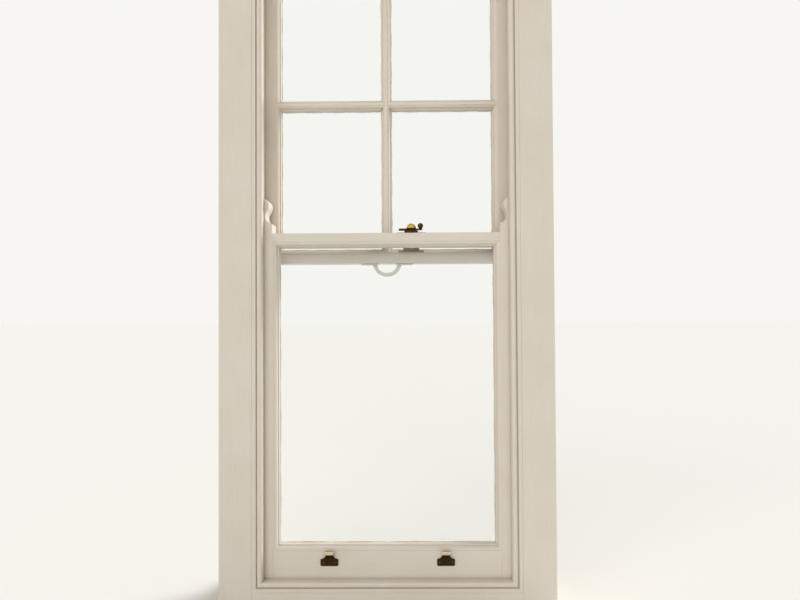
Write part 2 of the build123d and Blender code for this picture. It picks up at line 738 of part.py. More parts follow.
# Ironmongery of the sashes
def hook_lift(x):
    """Hook lift: a low plate and a neck that curls up and out to a finger lip."""
    half = lift_plate_width / 2
    plate = Pos(0, lift_plate_height / 2) * RectangleRounded(lift_plate_width, lift_plate_height, 3)
    shoulder = make_face(Polyline((-half + 6, lift_plate_height - 1), (half - 6, lift_plate_height - 1),
                                  (lift_neck_width / 2, lift_plate_height + 6),
                                  (-lift_neck_width / 2, lift_plate_height + 6), close=True))
    upright = Plane(origin=(x, lower_room, lift_height), x_dir=(1, 0, 0), z_dir=(0, -1, 0))
    body = extrude(upright * (plate + shoulder), amount=lift_plate_thickness)
    rise, reach = lift_hook_rise, lift_hook_reach
    start = lift_plate_height - 4
    back = Spline([(0, start), (0.04 * reach, 0.66 * rise), (0.36 * reach, 0.92 * rise),
                   (0.68 * reach, rise), (reach, 0.94 * rise)],
                  tangents=[(0, 1), (1, -0.5)])
    front = Spline([(0.94 * reach, 0.85 * rise), (0.7 * reach, 0.9 * rise),
                    (0.44 * reach, 0.81 * rise), (0.21 * reach, 0.6 * rise),
                    (lift_plate_thickness, start)])
    tip = Line((reach, 0.94 * rise), (0.94 * reach, 0.85 * rise))
    foot = Line((lift_plate_thickness, start), (0, start))
    curl = make_face([back, tip, front, foot])
    # The curl is drawn with its first axis pointing into the room.
    profile = Plane(origin=(x - lift_hook_width / 2, lower_room, lift_height),
                    x_dir=(0, -1, 0), z_dir=(-1, 0, 0))
    hook = extrude(profile * curl, amount=-lift_hook_width)
    neck = lift_neck_width / 2
    tip_half = lift_hook_width / 2
    front_view = flat_shape([(x - neck, lift_height), (x + neck, lift_height),
                             (x + neck, lift_height + 0.62 * rise), (x + tip_half, lift_height + rise + 1),
                             (x - tip_half, lift_height + rise + 1),
                             (x - neck, lift_height + 0.62 * rise)],
                            lower_room - reach - 1, lower_room + 1)
    body += hook & front_view
    places = []
    for side in (-1, 1):
        place = Pos(x + side * lift_screw_spacing / 2, lower_room - lift_plate_thickness,
                    lift_height + lift_plate_height / 2) * Rot(90, 0, 0)
        body -= place * screw_hole()
        places.append(place)
    return body, places


pivot_y = lower_room + fastener_setback
plate_top = lower_rail_top + fastener_plate_thickness


def fastener_base():
    """Plate on the lower meeting rail with the post that the lever turns on."""
    plate = extrude(RectangleRounded(fastener_plate_length, fastener_plate_width, 5),
                    amount=fastener_plate_thickness)
    plate = chamfer(plate.faces().sort_by(Axis.Z)[-1].edges(), 0.8)
    post = Pos(0, 0, fastener_plate_thickness + post_height / 2) * Cylinder(post_radius, post_height)
    body = Pos(fastener_offset, pivot_y, lower_rail_top) * (plate + post)
    places = []
    for side in (-1, 1):
        place = Pos(fastener_offset + side * fastener_screw_spacing / 2, pivot_y, plate_top)
        body -= place * screw_hole()
        places.append(place)
    return body, places


def fastener_lever():
    """Domed hub on the post, with a catch blade to the left and a thumb knob to the right."""
    neck = lever_collar_top - lever_lift
    flare = lever_dome_bottom - lever_collar_top
    hub = Pos(0, 0, lever_lift + neck / 2) * Cylinder(lever_hub_radius, neck)
    hub += Pos(0, 0, lever_collar_top + flare / 2) * Cone(lever_hub_radius, lever_dome_radius, flare)
    hub += Pos(0, 0, lever_dome_bottom) * Sphere(lever_dome_radius, arc_size1=0)
    bore = post_height + lever_lift
    hub -= Pos(0, 0, bore / 2) * Cylinder(post_radius + post_clearance, bore)
    half = blade_width / 2
    tip = half * 0.8
    arm = make_face(Polyline((-lever_hub_radius / 2, -half - 1), (-blade_reach + tip, -tip),
                             (-blade_reach + tip, tip), (-lever_hub_radius / 2, half + 1), close=True))
    arm += Pos(-blade_reach + tip, 0) * Circle(tip)
    arm -= Circle(lever_hub_radius - 1)
    blade = Pos(0, 0, blade_bottom) * extrude(arm, amount=blade_thickness)
    stalk = Pos((knob_reach + lever_hub_radius - 1) / 2, 0) * Rectangle(
        knob_reach - lever_hub_radius + 1, 7)
    stalk += Pos(knob_reach, 0) * Circle(4.5)
    thumb = Pos(0, 0, blade_bottom + 1) * extrude(stalk, amount=blade_thickness - 1)
    stem_height = knob_rise - blade_bottom - blade_thickness
    stem = Pos(knob_reach, 0, blade_bottom + blade_thickness + stem_height / 2) * Cone(
        3.6, 2.6, stem_height)
    ball = Pos(knob_reach, 0, knob_rise) * Sphere(knob_radius)
    lever = hub + blade + thumb + stem + ball
    return Pos(fastener_offset, pivot_y, plate_top) * lever


def fastener_keeper(z):
    """Keeper in a notch of the upper meeting rail's moulding; the blade goes under its lip."""
    plate = block(fastener_offset - keeper_length / 2, fastener_offset + keeper_length / 2,
                  keeper_front, keeper_front + keeper_depth, z, z + keeper_thickness)
    back = keeper_front + keeper_depth
    top = z + keeper_rise
    catch = make_face(Polyline((back, z), (back, top), (back - keeper_wall - keeper_cover, top),
                               (back - keeper_wall - keeper_cover, top - keeper_thickness),
                               (back - keeper_wall, top - keeper_thickness), (back - keeper_wall, z),
                               close=True))
    body = plate + side_shape(catch, fastener_offset - keeper_catch_length / 2,
                              fastener_offset + keeper_catch_length / 2)
    places = []
    for side in (-1, 1):
        place = Pos(fastener_offset + side * keeper_screw_spacing / 2,
                    keeper_front + keeper_depth / 2, z + keeper_thickness)
        body -= place * screw_hole()
        places.append(place)
    return body, places


def bow_handle():
    """Bow pull under the upper meeting rail: a round bar on two flat feet."""
    y = upper_room + handle_setback
    radius = handle_bar_radius
    half = handle_bow_width / 2 - radius
    depth = handle_bow_depth - radius - handle_foot_thickness / 2
    path = EllipticalCenterArc((0, 0), half, depth, start_angle=180, arc_size=180)
    path = Plane(origin=(0, y, upper_bottom - handle_foot_thickness / 2), x_dir=(1, 0, 0),
                 z_dir=(0, -1, 0)) * path
    start = Plane(origin=path @ 0, z_dir=path % 0)
    body = sweep(start * Circle(radius), path=path)
    outer = handle_bow_width / 2 - radius + handle_foot_length
    foot_half = handle_foot_length / 2
    places = []
    for side in (-1, 1):
        foot = extrude(RectangleRounded(handle_foot_length + 2 * radius, handle_foot_width,
                                        handle_foot_width / 2 - 1), amount=handle_foot_thickness)
        centre = side * (outer - foot_half)
        body += Pos(centre, y, upper_bottom - handle_foot_thickness) * foot
        for step in (-0.2, 0.8):
            x = centre + side * step * handle_screw_pitch * 0.8
            place = Pos(x, y, upper_bottom - handle_foot_thickness) * Rot(180, 0, 0)
            places.append(place)
    body &= block(-200, 200, y - 50, y + 50, upper_bottom - 100, upper_bottom)
    for place in places:
        body -= place * screw_hole()
    return body, places


# Cords and weights
def make_cords_and_weights():
    radius = cord_diameter / 2
    knot_x = cord_x - knot_sink
    bends = []
    for name, y, knot_z, hang, length in (
            ("lower", lower_middle, lower_knot_z, lower_weight_hang, lower_weight_length),
            ("upper", upper_middle, upper_knot_z, upper_weight_hang, upper_weight_length)):
        straight = axle_z - knot_z
        cord = Pos(cord_x, y, knot_z + straight / 2) * Cylinder(radius, straight)
        cord += Pos(knot_x, y, knot_z) * Sphere(knot_radius)
        parts["sash_cords_" + name] = Compound([cord, flipped(cord)])

        weight_top = axle_z - hang
        neck = weight_neck_height
        outline = Polyline((0, weight_top - length), (weight_radius - weight_base_chamfer,
                                                       weight_top - length),
                           (weight_radius, weight_top - length + weight_base_chamfer),
                           (weight_radius, weight_top - neck), (weight_neck_radius, weight_top - 4),
                           (weight_neck_radius - 4, weight_top), (0, weight_top), close=True)
        weight = revolve(Plane.XZ * make_face(outline), Axis.Z)
        hole = radius + weight_hole_gap
        window_top = weight_top - neck * 0.35
        window_low = weight_top - neck * 0.9
        weight -= Pos(0, 0, weight_top - neck / 2 + 1) * Cylinder(hole, neck)
        weight -= block(-knot_radius - 1.5, knot_radius + 1.5, -weight_radius, knot_radius,
                        window_low, window_top)
        pair("weight_" + name, Pos(weight_x, y, 0) * weight)

        knot_low = window_top - math.sqrt(knot_radius ** 2 - hole ** 2)
        drop = axle_z - knot_low
        tail = Pos(weight_x, y, knot_low + drop / 2) * Cylinder(radius, drop)
        tail += Pos(weight_x, y, knot_low) * Sphere(knot_radius)
        pair("weight_cord_" + name, tail)
        bend = revolve(Pos(cord_x, y, axle_z) * Circle(radius),
                       Axis((axle_x, y, axle_z), (0, 1, 0)), 180)
        bends += [bend, flipped(bend)]
    parts["cord_bends"] = Compound(bends)


make_frame()
make_lower_sash()
make_upper_sash()
make_cords_and_weights()

os.makedirs("parts", exist_ok=True)
for name, shape in parts.items():
    export_step(shape, f"parts/{name}.step")
print(len(parts), "nodes")
print("cord lengths", round(axle_z - lower_knot_z + math.pi * pulley_pitch_radius + lower_weight_hang),
      round(axle_z - upper_knot_z + math.pi * pulley_pitch_radius + upper_weight_hang))
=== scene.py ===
import math

import bmesh
import bpy
import numpy as np
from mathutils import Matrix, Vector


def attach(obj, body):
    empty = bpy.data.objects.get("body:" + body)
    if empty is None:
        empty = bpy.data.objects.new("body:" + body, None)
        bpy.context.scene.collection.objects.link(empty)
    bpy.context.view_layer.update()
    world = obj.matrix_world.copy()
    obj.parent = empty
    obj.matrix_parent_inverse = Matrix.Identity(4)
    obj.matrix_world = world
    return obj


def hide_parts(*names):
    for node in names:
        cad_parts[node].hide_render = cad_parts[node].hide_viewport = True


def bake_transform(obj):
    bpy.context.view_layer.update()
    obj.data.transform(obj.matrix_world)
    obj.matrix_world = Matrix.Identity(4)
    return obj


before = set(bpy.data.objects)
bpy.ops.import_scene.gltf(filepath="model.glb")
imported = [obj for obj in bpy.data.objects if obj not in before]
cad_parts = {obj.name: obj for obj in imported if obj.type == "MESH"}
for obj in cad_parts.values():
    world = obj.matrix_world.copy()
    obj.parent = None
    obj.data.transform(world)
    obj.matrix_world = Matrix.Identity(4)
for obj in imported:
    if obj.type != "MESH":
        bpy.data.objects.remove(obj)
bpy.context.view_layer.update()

# Sill. A wide board with a flat for the lower sash, then a step and a slope
# that shed rain, a rounded nose and a throat under it. Brush painted on every face.
MM = 0.001


def colour(code):
    """An sRGB hex value as linear red, green, blue and alpha."""
    part = np.array([int(code[i:i + 2], 16) for i in (1, 3, 5)]) / 255
    linear = np.where(part <= 0.04045, part / 12.92, ((part + 0.055) / 1.055) ** 2.4)
    return (*linear.tolist(), 1.0)


def add(tree, kind, settings={}, links={}):
    """Adds a node, fills in its sockets and settings, and links outputs into it."""
    node = tree.nodes.new(kind)
    for name, value in settings.items():
        if isinstance(name, int) or name in node.inputs:
            node.inputs[name].default_value = value
        else:
            setattr(node, name, value)
    for name, output in links.items():
        tree.links.new(output, node.inputs[name])
    return node


def new_material(name):
    """A material with its node tree and its surface shader."""
    material = bpy.data.materials.new(name)
    material.use_nodes = True
    return material, material.node_tree, material.node_tree.nodes["Principled BSDF"]


def noise(tree, place, scale, detail, roughness=0.5):
    """Smooth noise round 0.5, with scale cells to a unit of place."""
    return add(tree, "ShaderNodeTexNoise",
               {"Scale": scale, "Detail": detail, "Roughness": roughness},
               {"Vector": place}).outputs["Fac"]


def mix(tree, low, high, share):
    """The hex colour low where the share is 0 and high where it is 1."""
    return add(tree, "ShaderNodeMix", {"data_type": "RGBA", 6: colour(low), 7: colour(high)},
               {0: share}).outputs[2]


def emboss(tree, surface, strength, depth, height):
    """Shades a surface as if its heights from 0 to 1 stood up to depth metres proud."""
    bump = add(tree, "ShaderNodeBump", {"Strength": strength, "Distance": depth},
               {"Height": height})
    tree.links.new(bump.outputs["Normal"], surface.inputs["Normal"])


def oil_paint(name, grain, corner_shade_amount=0.32):
    """Satin oil paint on softwood, brushed along the grain. Strokes 1.5 mm wide leave low
    ridges, the coat varies a little over a hand's width, and ambient occlusion darkens
    the corners and recesses as painted shade."""
    material, tree, surface = new_material(name)
    place = add(tree, "ShaderNodeTexCoord").outputs["Object"]
    along = [16.0 if axis == grain else 650.0 for axis in "XYZ"]
    drawn = add(tree, "ShaderNodeMapping", {"Scale": along}, {"Vector": place})
    strokes = noise(tree, drawn.outputs["Vector"], 1.0, 3.0, 0.6)
    coat = noise(tree, place, 9.0, 3.0, 0.55)
    streak = add(tree, "ShaderNodeMapRange", {"From Min": 0.3, "From Max": 0.7}, {"Value": strokes})
    body = mix(tree, "#DCD3C5", "#E1D9CC", streak.outputs["Result"])
    age = add(tree, "ShaderNodeMapRange", {"From Min": 0.35, "From Max": 0.75, "To Max": 0.22},
              {"Value": coat})
    aged = add(tree, "ShaderNodeMix", {"data_type": "RGBA", 7: colour("#CDBFA9")},
               {0: age.outputs["Result"], 6: body}).outputs[2]
    # Painted shade: ambient occlusion tints the corners and recesses darker.
    corner = add(tree, "ShaderNodeAmbientOcclusion", {"Distance": 0.014, "samples": 6})
    painted_corner_shade = add(tree, "ShaderNodeMapRange", {"From Min": 0.8, "From Max": 0.25, "To Max": corner_shade_amount},
                {"Value": corner.outputs["AO"]})
    tinted = add(tree, "ShaderNodeMix", {"data_type": "RGBA", 7: colour("#A5937B")},
                 {0: painted_corner_shade.outputs["Result"], 6: aged})
    tree.links.new(tinted.outputs[2], surface.inputs["Base Color"])
    shine = add(tree, "ShaderNodeMapRange",
                {"From Min": 0.3, "From Max": 0.7, "To Min": 0.33, "To Max": 0.47}, {"Value": coat})
    tree.links.new(shine.outputs["Result"], surface.inputs["Roughness"])
    emboss(tree, surface, 0.25, 0.0001, strokes)
    surface.inputs["IOR"].default_value = 1.5
    return material


paint_level = oil_paint("oil_paint_brushed_level", "X")
paint_upright = oil_paint("oil_paint_brushed_upright", "Z")


def rounded(corners, radius=1.2, steps=4):
    """A closed outline whose corners are quadratic curves between points a radius away
    along both sides. The radius may be one number or one for each corner."""
    corners = np.asarray(corners, float)
    radius = np.reshape(radius, (-1, 1))

    def toward(other):
        side = other - corners
        length = np.linalg.norm(side, axis=1, keepdims=True)
        return corners + side / length * np.minimum(radius, 0.48 * length)

    first = toward(np.roll(corners, 1, 0))[:, None]
    last = toward(np.roll(corners, -1, 0))[:, None]
    t = np.linspace(0, 1, steps + 1)[None, :, None]
    curve = (1 - t) ** 2 * first + 2 * t * (1 - t) * corners[:, None] + t ** 2 * last
    return curve.reshape(-1, 2)


def skin(rings, closed=False):
    """Points on a grid of rings and the faces between neighbours. The ends are covered,
    or with closed the last ring joins the first."""
    count, size = rings.shape[:2]
    index = np.arange(count * size).reshape(count, size)
    here = index if closed else index[:-1]
    there = np.roll(index, -1, 0) if closed else index[1:]
    sides = np.stack([here, np.roll(here, -1, 1), np.roll(there, -1, 1), there], -1)
    ends = [] if closed else [index[0, ::-1].tolist(), index[-1].tolist()]
    return rings.reshape(-1, 3), sides.reshape(-1, 4).tolist() + ends


def slab(outline, low, high, face="xz", ease=0.8, layers=()):
    """An outline carried through a thickness. Its arrises are quarter rounds: at angle a
    the ring lies ease (1 - cos a) from the face and ease (1 - sin a) inside the outline."""
    outline = np.asarray(outline, float)
    side = np.roll(outline, -1, 0) - outline
    normal = np.stack([-side[:, 1], side[:, 0]], 1) / np.linalg.norm(side, axis=1, keepdims=True)
    before = np.roll(normal, 1, 0)
    inward = (normal + before) / np.maximum(1 + (normal * before).sum(1, keepdims=True), 0.35)
    turn = outline[:, 0] * np.roll(outline[:, 1], -1) - outline[:, 1] * np.roll(outline[:, 0], -1)
    inward *= np.sign(turn.sum())
    angles = np.linspace(0, math.pi / 2, 4)
    drawn = [(outline + inward * ease * (1 - math.sin(a)), ease * (1 - math.cos(a)))
             for a in angles]
    levels = [(shape, low + depth) for shape, depth in drawn] + list(layers)
    levels += [(shape, high - depth) for shape, depth in reversed(drawn)]
    flat = np.array([shape for shape, depth in levels])
    depth = np.array([depth for shape, depth in levels])[:, None, None]
    points = np.concatenate([flat, np.broadcast_to(depth, (*flat.shape[:2], 1))], 2)
    return skin(points[..., {"xz": (0, 2, 1), "yz": (2, 0, 1), "xy": (0, 1, 2)}[face]])


def board(x0, x1, y0, y1, z0, z1, ease=1.2):
    """A squared board, level or upright: its section's corners are eased by one radius and
    its ends by another, and it is carried along its length."""
    end = 0.15
    if x1 - x0 > z1 - z0:
        return slab(rounded([(y0, z0), (y1, z0), (y1, z1), (y0, z1)], ease), x0, x1, "yz", end)
    return slab(rounded([(x0, y0), (x1, y0), (x1, y1), (x0, y1)], ease), z0, z1, "xy", end)


def flipped(shells):
    """The left-hand twin of right-hand shells."""
    return [(points * (-1, 1, 1), faces) for points, faces in shells]


def piece(name, shells, material, body, nodes, crisp=36):
    """One object from closed shells in millimetres. Each shell's doubled points are merged
    and its faces turned outwards. Edges over the crisp angle stay sharp."""
    whole = bmesh.new()
    for points, faces in shells:
        part = bpy.data.meshes.new("shell")
        part.from_pydata((np.asarray(points) * MM).tolist(), [], faces)
        one = bmesh.new()
        one.from_mesh(part)
        bmesh.ops.remove_doubles(one, verts=one.verts, dist=2e-6)
        bmesh.ops.dissolve_degenerate(one, edges=one.edges, dist=1e-6)
        bmesh.ops.recalc_face_normals(one, faces=one.faces)
        one.to_mesh(part)
        one.free()
        whole.from_mesh(part)
        bpy.data.meshes.remove(part)
    mesh = bpy.data.meshes.new(name)
    whole.to_mesh(mesh)
    whole.free()
    mesh.shade_smooth()
    mesh.set_sharp_from_angle(angle=math.radians(crisp))
    mesh.materials.append(material)
    made = bpy.data.objects.new(name, mesh)
    bpy.context.scene.collection.objects.link(made)
    even = made.modifiers.new("even_shading", "WEIGHTED_NORMAL")
    even.keep_sharp = True
    if body:
        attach(made, body)
    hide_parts(*nodes)
    return made


def timber(node, shells, material, body):
    """A painted timber member that stands for the CAD node of the same name."""
    return piece("joinery_" + node, shells, material, body, [node])


def timber_pair(node, shells, material, body):
    """A right-hand member and its left-hand twin."""
    timber(node + "_right", shells, material, body)
    timber(node + "_left", flipped(shells), material, body)


HALF_WIDTH = 405.0
WINDOW_TOP = 1759.9
SOFFIT = 1715.9
ROOM_FACE, OUTER_FACE = -50.5, 50.5
SILL_STEP_Y, SILL_FLAT, SILL_LOW = -4.5, 65.0, 59.0
SILL_FALL = math.tan(math.radians(8))
NOSE, NOSE_RADIUS = 130.5, 7.0
THROAT_Y, THROAT_RADIUS = NOSE - 12.0, 4.0
arc = np.radians(np.linspace(180, 0, 9))
throat = np.stack([THROAT_Y + THROAT_RADIUS * np.cos(arc), THROAT_RADIUS * np.sin(arc)], 1)
nose_top = SILL_LOW - (NOSE - SILL_STEP_Y) * SILL_FALL
sill_corners = np.concatenate([[(ROOM_FACE, 0)], throat, [
    (NOSE, 0), (NOSE, nose_top), (SILL_STEP_Y, SILL_LOW), (SILL_STEP_Y, SILL_FLAT),
    (ROOM_FACE, SILL_FLAT)]])
sill_radii = [1] + [0.2] * len(throat) + [2, NOSE_RADIUS, 1.5, 1.5, 1]
timber("sill", [slab(rounded(sill_corners, sill_radii), -HALF_WIDTH, HALF_WIDTH, "yz", 1.5)],
       paint_level, "frame")

# Linings. Thin softwood boards that close the boxes: inside with a plain board under
# the window, outside lapping past the pulley stiles to keep the upper sash in.
LINING = 20.0
INNER = 324.5
STOP, STOP_LAP = 304.0, 14.0
BEAD_LOW, BEAD_HIGH = 51.2, 1722.4
inside = (ROOM_FACE - LINING, ROOM_FACE)
outside = (OUTER_FACE, OUTER_FACE + LINING)
timber("sill_lining", [board(-INNER, INNER, *inside, 0, BEAD_LOW)], paint_level, "frame")
timber_pair("inner_lining", [board(INNER, HALF_WIDTH, *inside, 0, WINDOW_TOP, 1.5)],
            paint_upright, "frame")
timber("inner_lining_top", [board(-INNER, INNER, *inside, BEAD_HIGH, WINDOW_TOP)],
       paint_level, "frame")
foot = [SILL_LOW - (y - SILL_STEP_Y) * SILL_FALL for y in outside]
outer_side = [(outside[0], foot[0]), (outside[1], foot[1]), (outside[1], WINDOW_TOP),
              (outside[0], WINDOW_TOP)]
timber_pair("outer_lining", [slab(outer_side, STOP, HALF_WIDTH, "yz", 1.5)], paint_upright, "frame")
timber("outer_lining_top", [board(-STOP, STOP, *outside, SOFFIT - STOP_LAP, WINDOW_TOP, 1.5)],
       paint_level, "frame")


# Boxes and head. The pulley stiles, head and pocket pieces keep their CAD shapes: flat
# machined faces with the pulleys' mortises and the pockets. Only their finish is added.
def finish(material, *nodes):
    """Gives carried-over CAD nodes their finish."""
    for node in nodes:
        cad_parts[node].data.materials.clear()
        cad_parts[node].data.materials.append(material)


finish(paint_upright, "pulley_stile_left", "pulley_stile_right", "pocket_pieces")
finish(paint_level, "head")


def bare_softwood():
    """Sawn redwood left bare inside the boxes: growth rings about 6 mm apart, drawn out
    along the length, and a dull surface with raised grain."""
    material, tree, surface = new_material("sawn_redwood")
    place = add(tree, "ShaderNodeTexCoord").outputs["Object"]
    drawn = add(tree, "ShaderNodeMapping", {"Scale": (1.0, 1.0, 0.04)}, {"Vector": place})
    rings = add(tree, "ShaderNodeTexWave",
                {"Scale": 55.0, "Distortion": 6.0, "Detail": 3.0, "Detail Scale": 1.5,
                 "bands_direction": "X"}, {"Vector": drawn.outputs["Vector"]})
    tone = mix(tree, "#C2A37C", "#A68259", rings.outputs["Fac"])
    tree.links.new(tone, surface.inputs["Base Color"])
    emboss(tree, surface, 0.4, 0.0003, rings.outputs["Fac"])
    surface.inputs["Roughness"].default_value = 0.75
    return material


finish(bare_softwood(), "back_linings", "wagtails")

# Beads. The parting beads stand in grooves between the sashes. The staff beads, half
# round with a quirk and mitred at the corners, hold the lower sash in from the room.
OPENING_HALF = 318.0
BEAD_HALF, BEAD_PROUD, BEAD_SUNK = 4.0, 8.5, 8.0
BEAD_INNER = OPENING_HALF - BEAD_PROUD
timber_pair("parting_bead", [board(BEAD_INNER, OPENING_HALF + BEAD_SUNK, -BEAD_HALF, BEAD_HALF,
                                   SILL_LOW - 1, SOFFIT, 1.6)], paint_upright, "frame")
timber("parting_bead_top", [board(-BEAD_INNER, BEAD_INNER, -BEAD_HALF, BEAD_HALF,
                                  SOFFIT - BEAD_PROUD, SOFFIT + BEAD_SUNK, 1.6)],
       paint_level, "frame")

UP, RIGHT, DEEP = np.eye(3)[2], np.eye(3)[0], np.eye(3)[1]


def carry(section, origin, across, along, start, stop):
    """A section of (u, v) points carried along a member: u runs across it and v goes
    deeper from the room face. Each point has its own start and stop, which cut mitres."""
    u, v = np.asarray(section, float).T[..., None]
    base = np.asarray(origin, float) + u * across + v * DEEP
    ends = [base + np.broadcast_to(end, len(u))[:, None] * along for end in (start, stop)]
    return skin(np.array(ends))


STAFF_INNER, STAFF_ROOM = 300.0, -72.5
STAFF_LOW, STAFF_HIGH = 75.7, 1697.9
STAFF_WIDTH, STAFF_DEPTH, STAFF_ROUND = 24.5, 22.0, 6.5
arc = np.radians(np.linspace(180, 0, 13))
half_round = STAFF_ROUND * np.stack([1 + np.cos(arc), 1 - np.sin(arc)], 1)
flat_part = rounded([(14.4, 6.3), (15.6, 2), (STAFF_WIDTH, 2), (STAFF_WIDTH, STAFF_DEPTH),
                     (0, STAFF_DEPTH)], [0.6, 0.7, 0.9, 0.3, 0.3])
staff = np.concatenate([half_round, flat_part])
cut_back = staff[:, 0]
level_ends = (-STAFF_INNER - cut_back, STAFF_INNER + cut_back)
timber_pair("staff_bead", [carry(staff, (STAFF_INNER, STAFF_ROOM, 0), RIGHT, UP,
                                 STAFF_LOW - cut_back, STAFF_HIGH + cut_back)],
            paint_upright, "frame")
timber("staff_bead_bottom", [carry(staff, (0, STAFF_ROOM, STAFF_LOW), -UP, RIGHT, *level_ends)],
       paint_level, "frame")
timber("staff_bead_top", [carry(staff, (0, STAFF_ROOM, STAFF_HIGH), UP, RIGHT, *level_ends)],
       paint_level, "frame")

# Lower sash. Stiles with ogee horns, a deep bottom rail and a thin meeting rail, with an
# ovolo and a ledge for the pane run on the room side of each member.
SASH_HALF, THICK = 316.5, 44.0
LOWER_ROOM = -49.0
MOULD, GLAZING, OVOLO_FOOT, OVOLO_RISE = 12.0, 24.0, 12, 10.4
HORN_HEIGHT, HORN_BASE = 88.0, 36.5
KNOT_DROP, GROOVE_DEPTH, GROOVE_HALF = 263.0, 9.0, 7.0
arc = np.radians(np.linspace(270, 180, 12))
ovolo = np.stack([MOULD + 9 * np.cos(arc), OVOLO_FOOT + OVOLO_RISE * np.sin(arc)], 1)
ledge = rounded([(0, OVOLO_FOOT), (0, GLAZING), (MOULD, GLAZING)], [0.7, 0.2, 0.2])
moulding = np.concatenate([ovolo, ledge])
mitre = moulding[:, 0]


def cubic(start, leave, stop, arrive, steps, end):
    """Cubic curves from start to stop, for t from 0 to 1. With h = 3 t squared - 2 t cubed,
    the place is (1 - h) start + h stop, plus leave times t (1 - t) squared, less arrive
    times t squared (1 - t)."""
    t = np.linspace(0, 1, steps, endpoint=end)[None, :, None]
    return ((2 * t ** 3 - 3 * t ** 2 + 1) * start + (t ** 3 - 2 * t ** 2 + t) * leave
            + (3 * t ** 2 - 2 * t ** 3) * stop + (t ** 3 - t ** 2) * arrive)


def horn_line():
    """The ogee as (inward, height) from the stile's edge and the rail: cubic curves through
    four points, each leaving and arriving along its tangents at 1.3 times the chord."""
    knots = np.array([(HORN_BASE, 23), (20, 43), (28.5, 70), (8, HORN_HEIGHT)], float)
    tangents = np.array([(-1, 0.35), (0, 1), (0, 1), (-1, 0.05)])
    tangents /= np.linalg.norm(tangents, axis=1, keepdims=True)
    chord = 1.3 * np.linalg.norm(np.diff(knots, axis=0), axis=1)[:, None, None]
    curve = cubic(knots[:-1, None], tangents[:-1, None] * chord,
                  knots[1:, None], tangents[1:, None] * chord, 13, True)
    return np.concatenate([curve[0], curve[1, 1:], curve[2, 1:]])


def stile(flat, sight, room, z_plain, z_rail, way, low_sight, high_sight):
    """A right-hand stile from its plain end to the rail its horn passes, and its moulding.
    The cord's groove runs down from the upper end, cut into the outer edge between two
    layers of the thickness. The edge has a near pair of points where the groove ends."""
    line = horn_line()
    horn = np.stack([SASH_HALF - line[:, 0], z_rail + way * line[:, 1]], 1)
    horn_tip = z_rail + way * HORN_HEIGHT
    groove_z = max(z_plain, horn_tip) - KNOT_DROP
    step = [groove_z - 0.02, groove_z][::way]
    edge = [(SASH_HALF, z) for z in (z_plain, *step, horn_tip)]
    outline = np.concatenate([edge, horn[::-1], [(SASH_HALF - HORN_BASE, z_rail), (flat, z_rail),
                                                 (flat, z_plain)]])
    cut = outline.copy()
    deep = (cut[:, 1] >= groove_z) & (cut[:, 0] > SASH_HALF - GROOVE_DEPTH)
    cut[deep, 0] = SASH_HALF - GROOVE_DEPTH
    near, far = room + THICK / 2 - GROOVE_HALF, room + THICK / 2 + GROOVE_HALF
    layers = [(outline, near), (cut, near), (cut, far), (outline, far)]
    return [slab(outline, room, room + THICK, "xz", 1.0, layers),
            carry(moulding, (sight, room, 0), RIGHT, UP, low_sight - mitre, high_sight + mitre)]


def rail_moulding(sight, room, z, way, start=None, stop=None):
    """The moulding along a rail, below (-1) or above (+1) the sight line at z."""
    start = -sight - mitre if start is None else start
    stop = sight + mitre if stop is None else stop
    return carry(moulding, (0, room, z), way * UP, RIGHT, start, stop)


LOWER_FLAT, LOWER_SIGHT = 277.5, 265.5
LOW_RAIL, LOW_SIGHT, HIGH_SIGHT, HIGH_RAIL, LOWER_TOP = 142.0, 154.0, 883.0, 895.0, 916.0
LIP = 307.5
LOWER_OUT = LOWER_ROOM + THICK
timber_pair("lower_stile", stile(LOWER_FLAT, LOWER_SIGHT, LOWER_ROOM, SILL_FLAT, LOWER_TOP, 1,
                                 LOW_SIGHT, HIGH_SIGHT), paint_upright, "lower_sash")
timber("lower_bottom_rail", [
    board(-LOWER_FLAT, LOWER_FLAT, LOWER_ROOM, LOWER_OUT, SILL_FLAT, LOW_RAIL, 1.0),
    rail_moulding(LOWER_SIGHT, LOWER_ROOM, LOW_SIGHT, -1)], paint_level, "lower_sash")
# The pane's top edge stands in a groove between the moulding and the part of the rail
# outside it, and the lip slopes out past the sash's outer face.
GLASS = 4.0
groove = LOWER_ROOM + GLAZING + GLASS
rail = rounded([(LOWER_ROOM, HIGH_RAIL), (groove, HIGH_RAIL), (groove, HIGH_SIGHT),
                (-2, HIGH_SIGHT), (1, LOWER_TOP), (LOWER_ROOM, LOWER_TOP)],
               [1, 0.3, 0.3, 0.8, 0.8, 1])
lip = rounded([(LOWER_OUT, HIGH_SIGHT), (-2, HIGH_SIGHT), (1, LOWER_TOP), (LOWER_OUT, LOWER_TOP)],
              [0.2, 0.8, 0.8, 0.2])
timber("lower_meeting_rail", [
    slab(rail, -LOWER_FLAT, LOWER_FLAT, "yz", 0.3), slab(lip, LOWER_FLAT, LIP, "yz", 0.3),
    slab(lip, -LIP, -LOWER_FLAT, "yz", 0.3),
    rail_moulding(LOWER_SIGHT, LOWER_ROOM, HIGH_SIGHT, 1)], paint_level, "lower_sash")

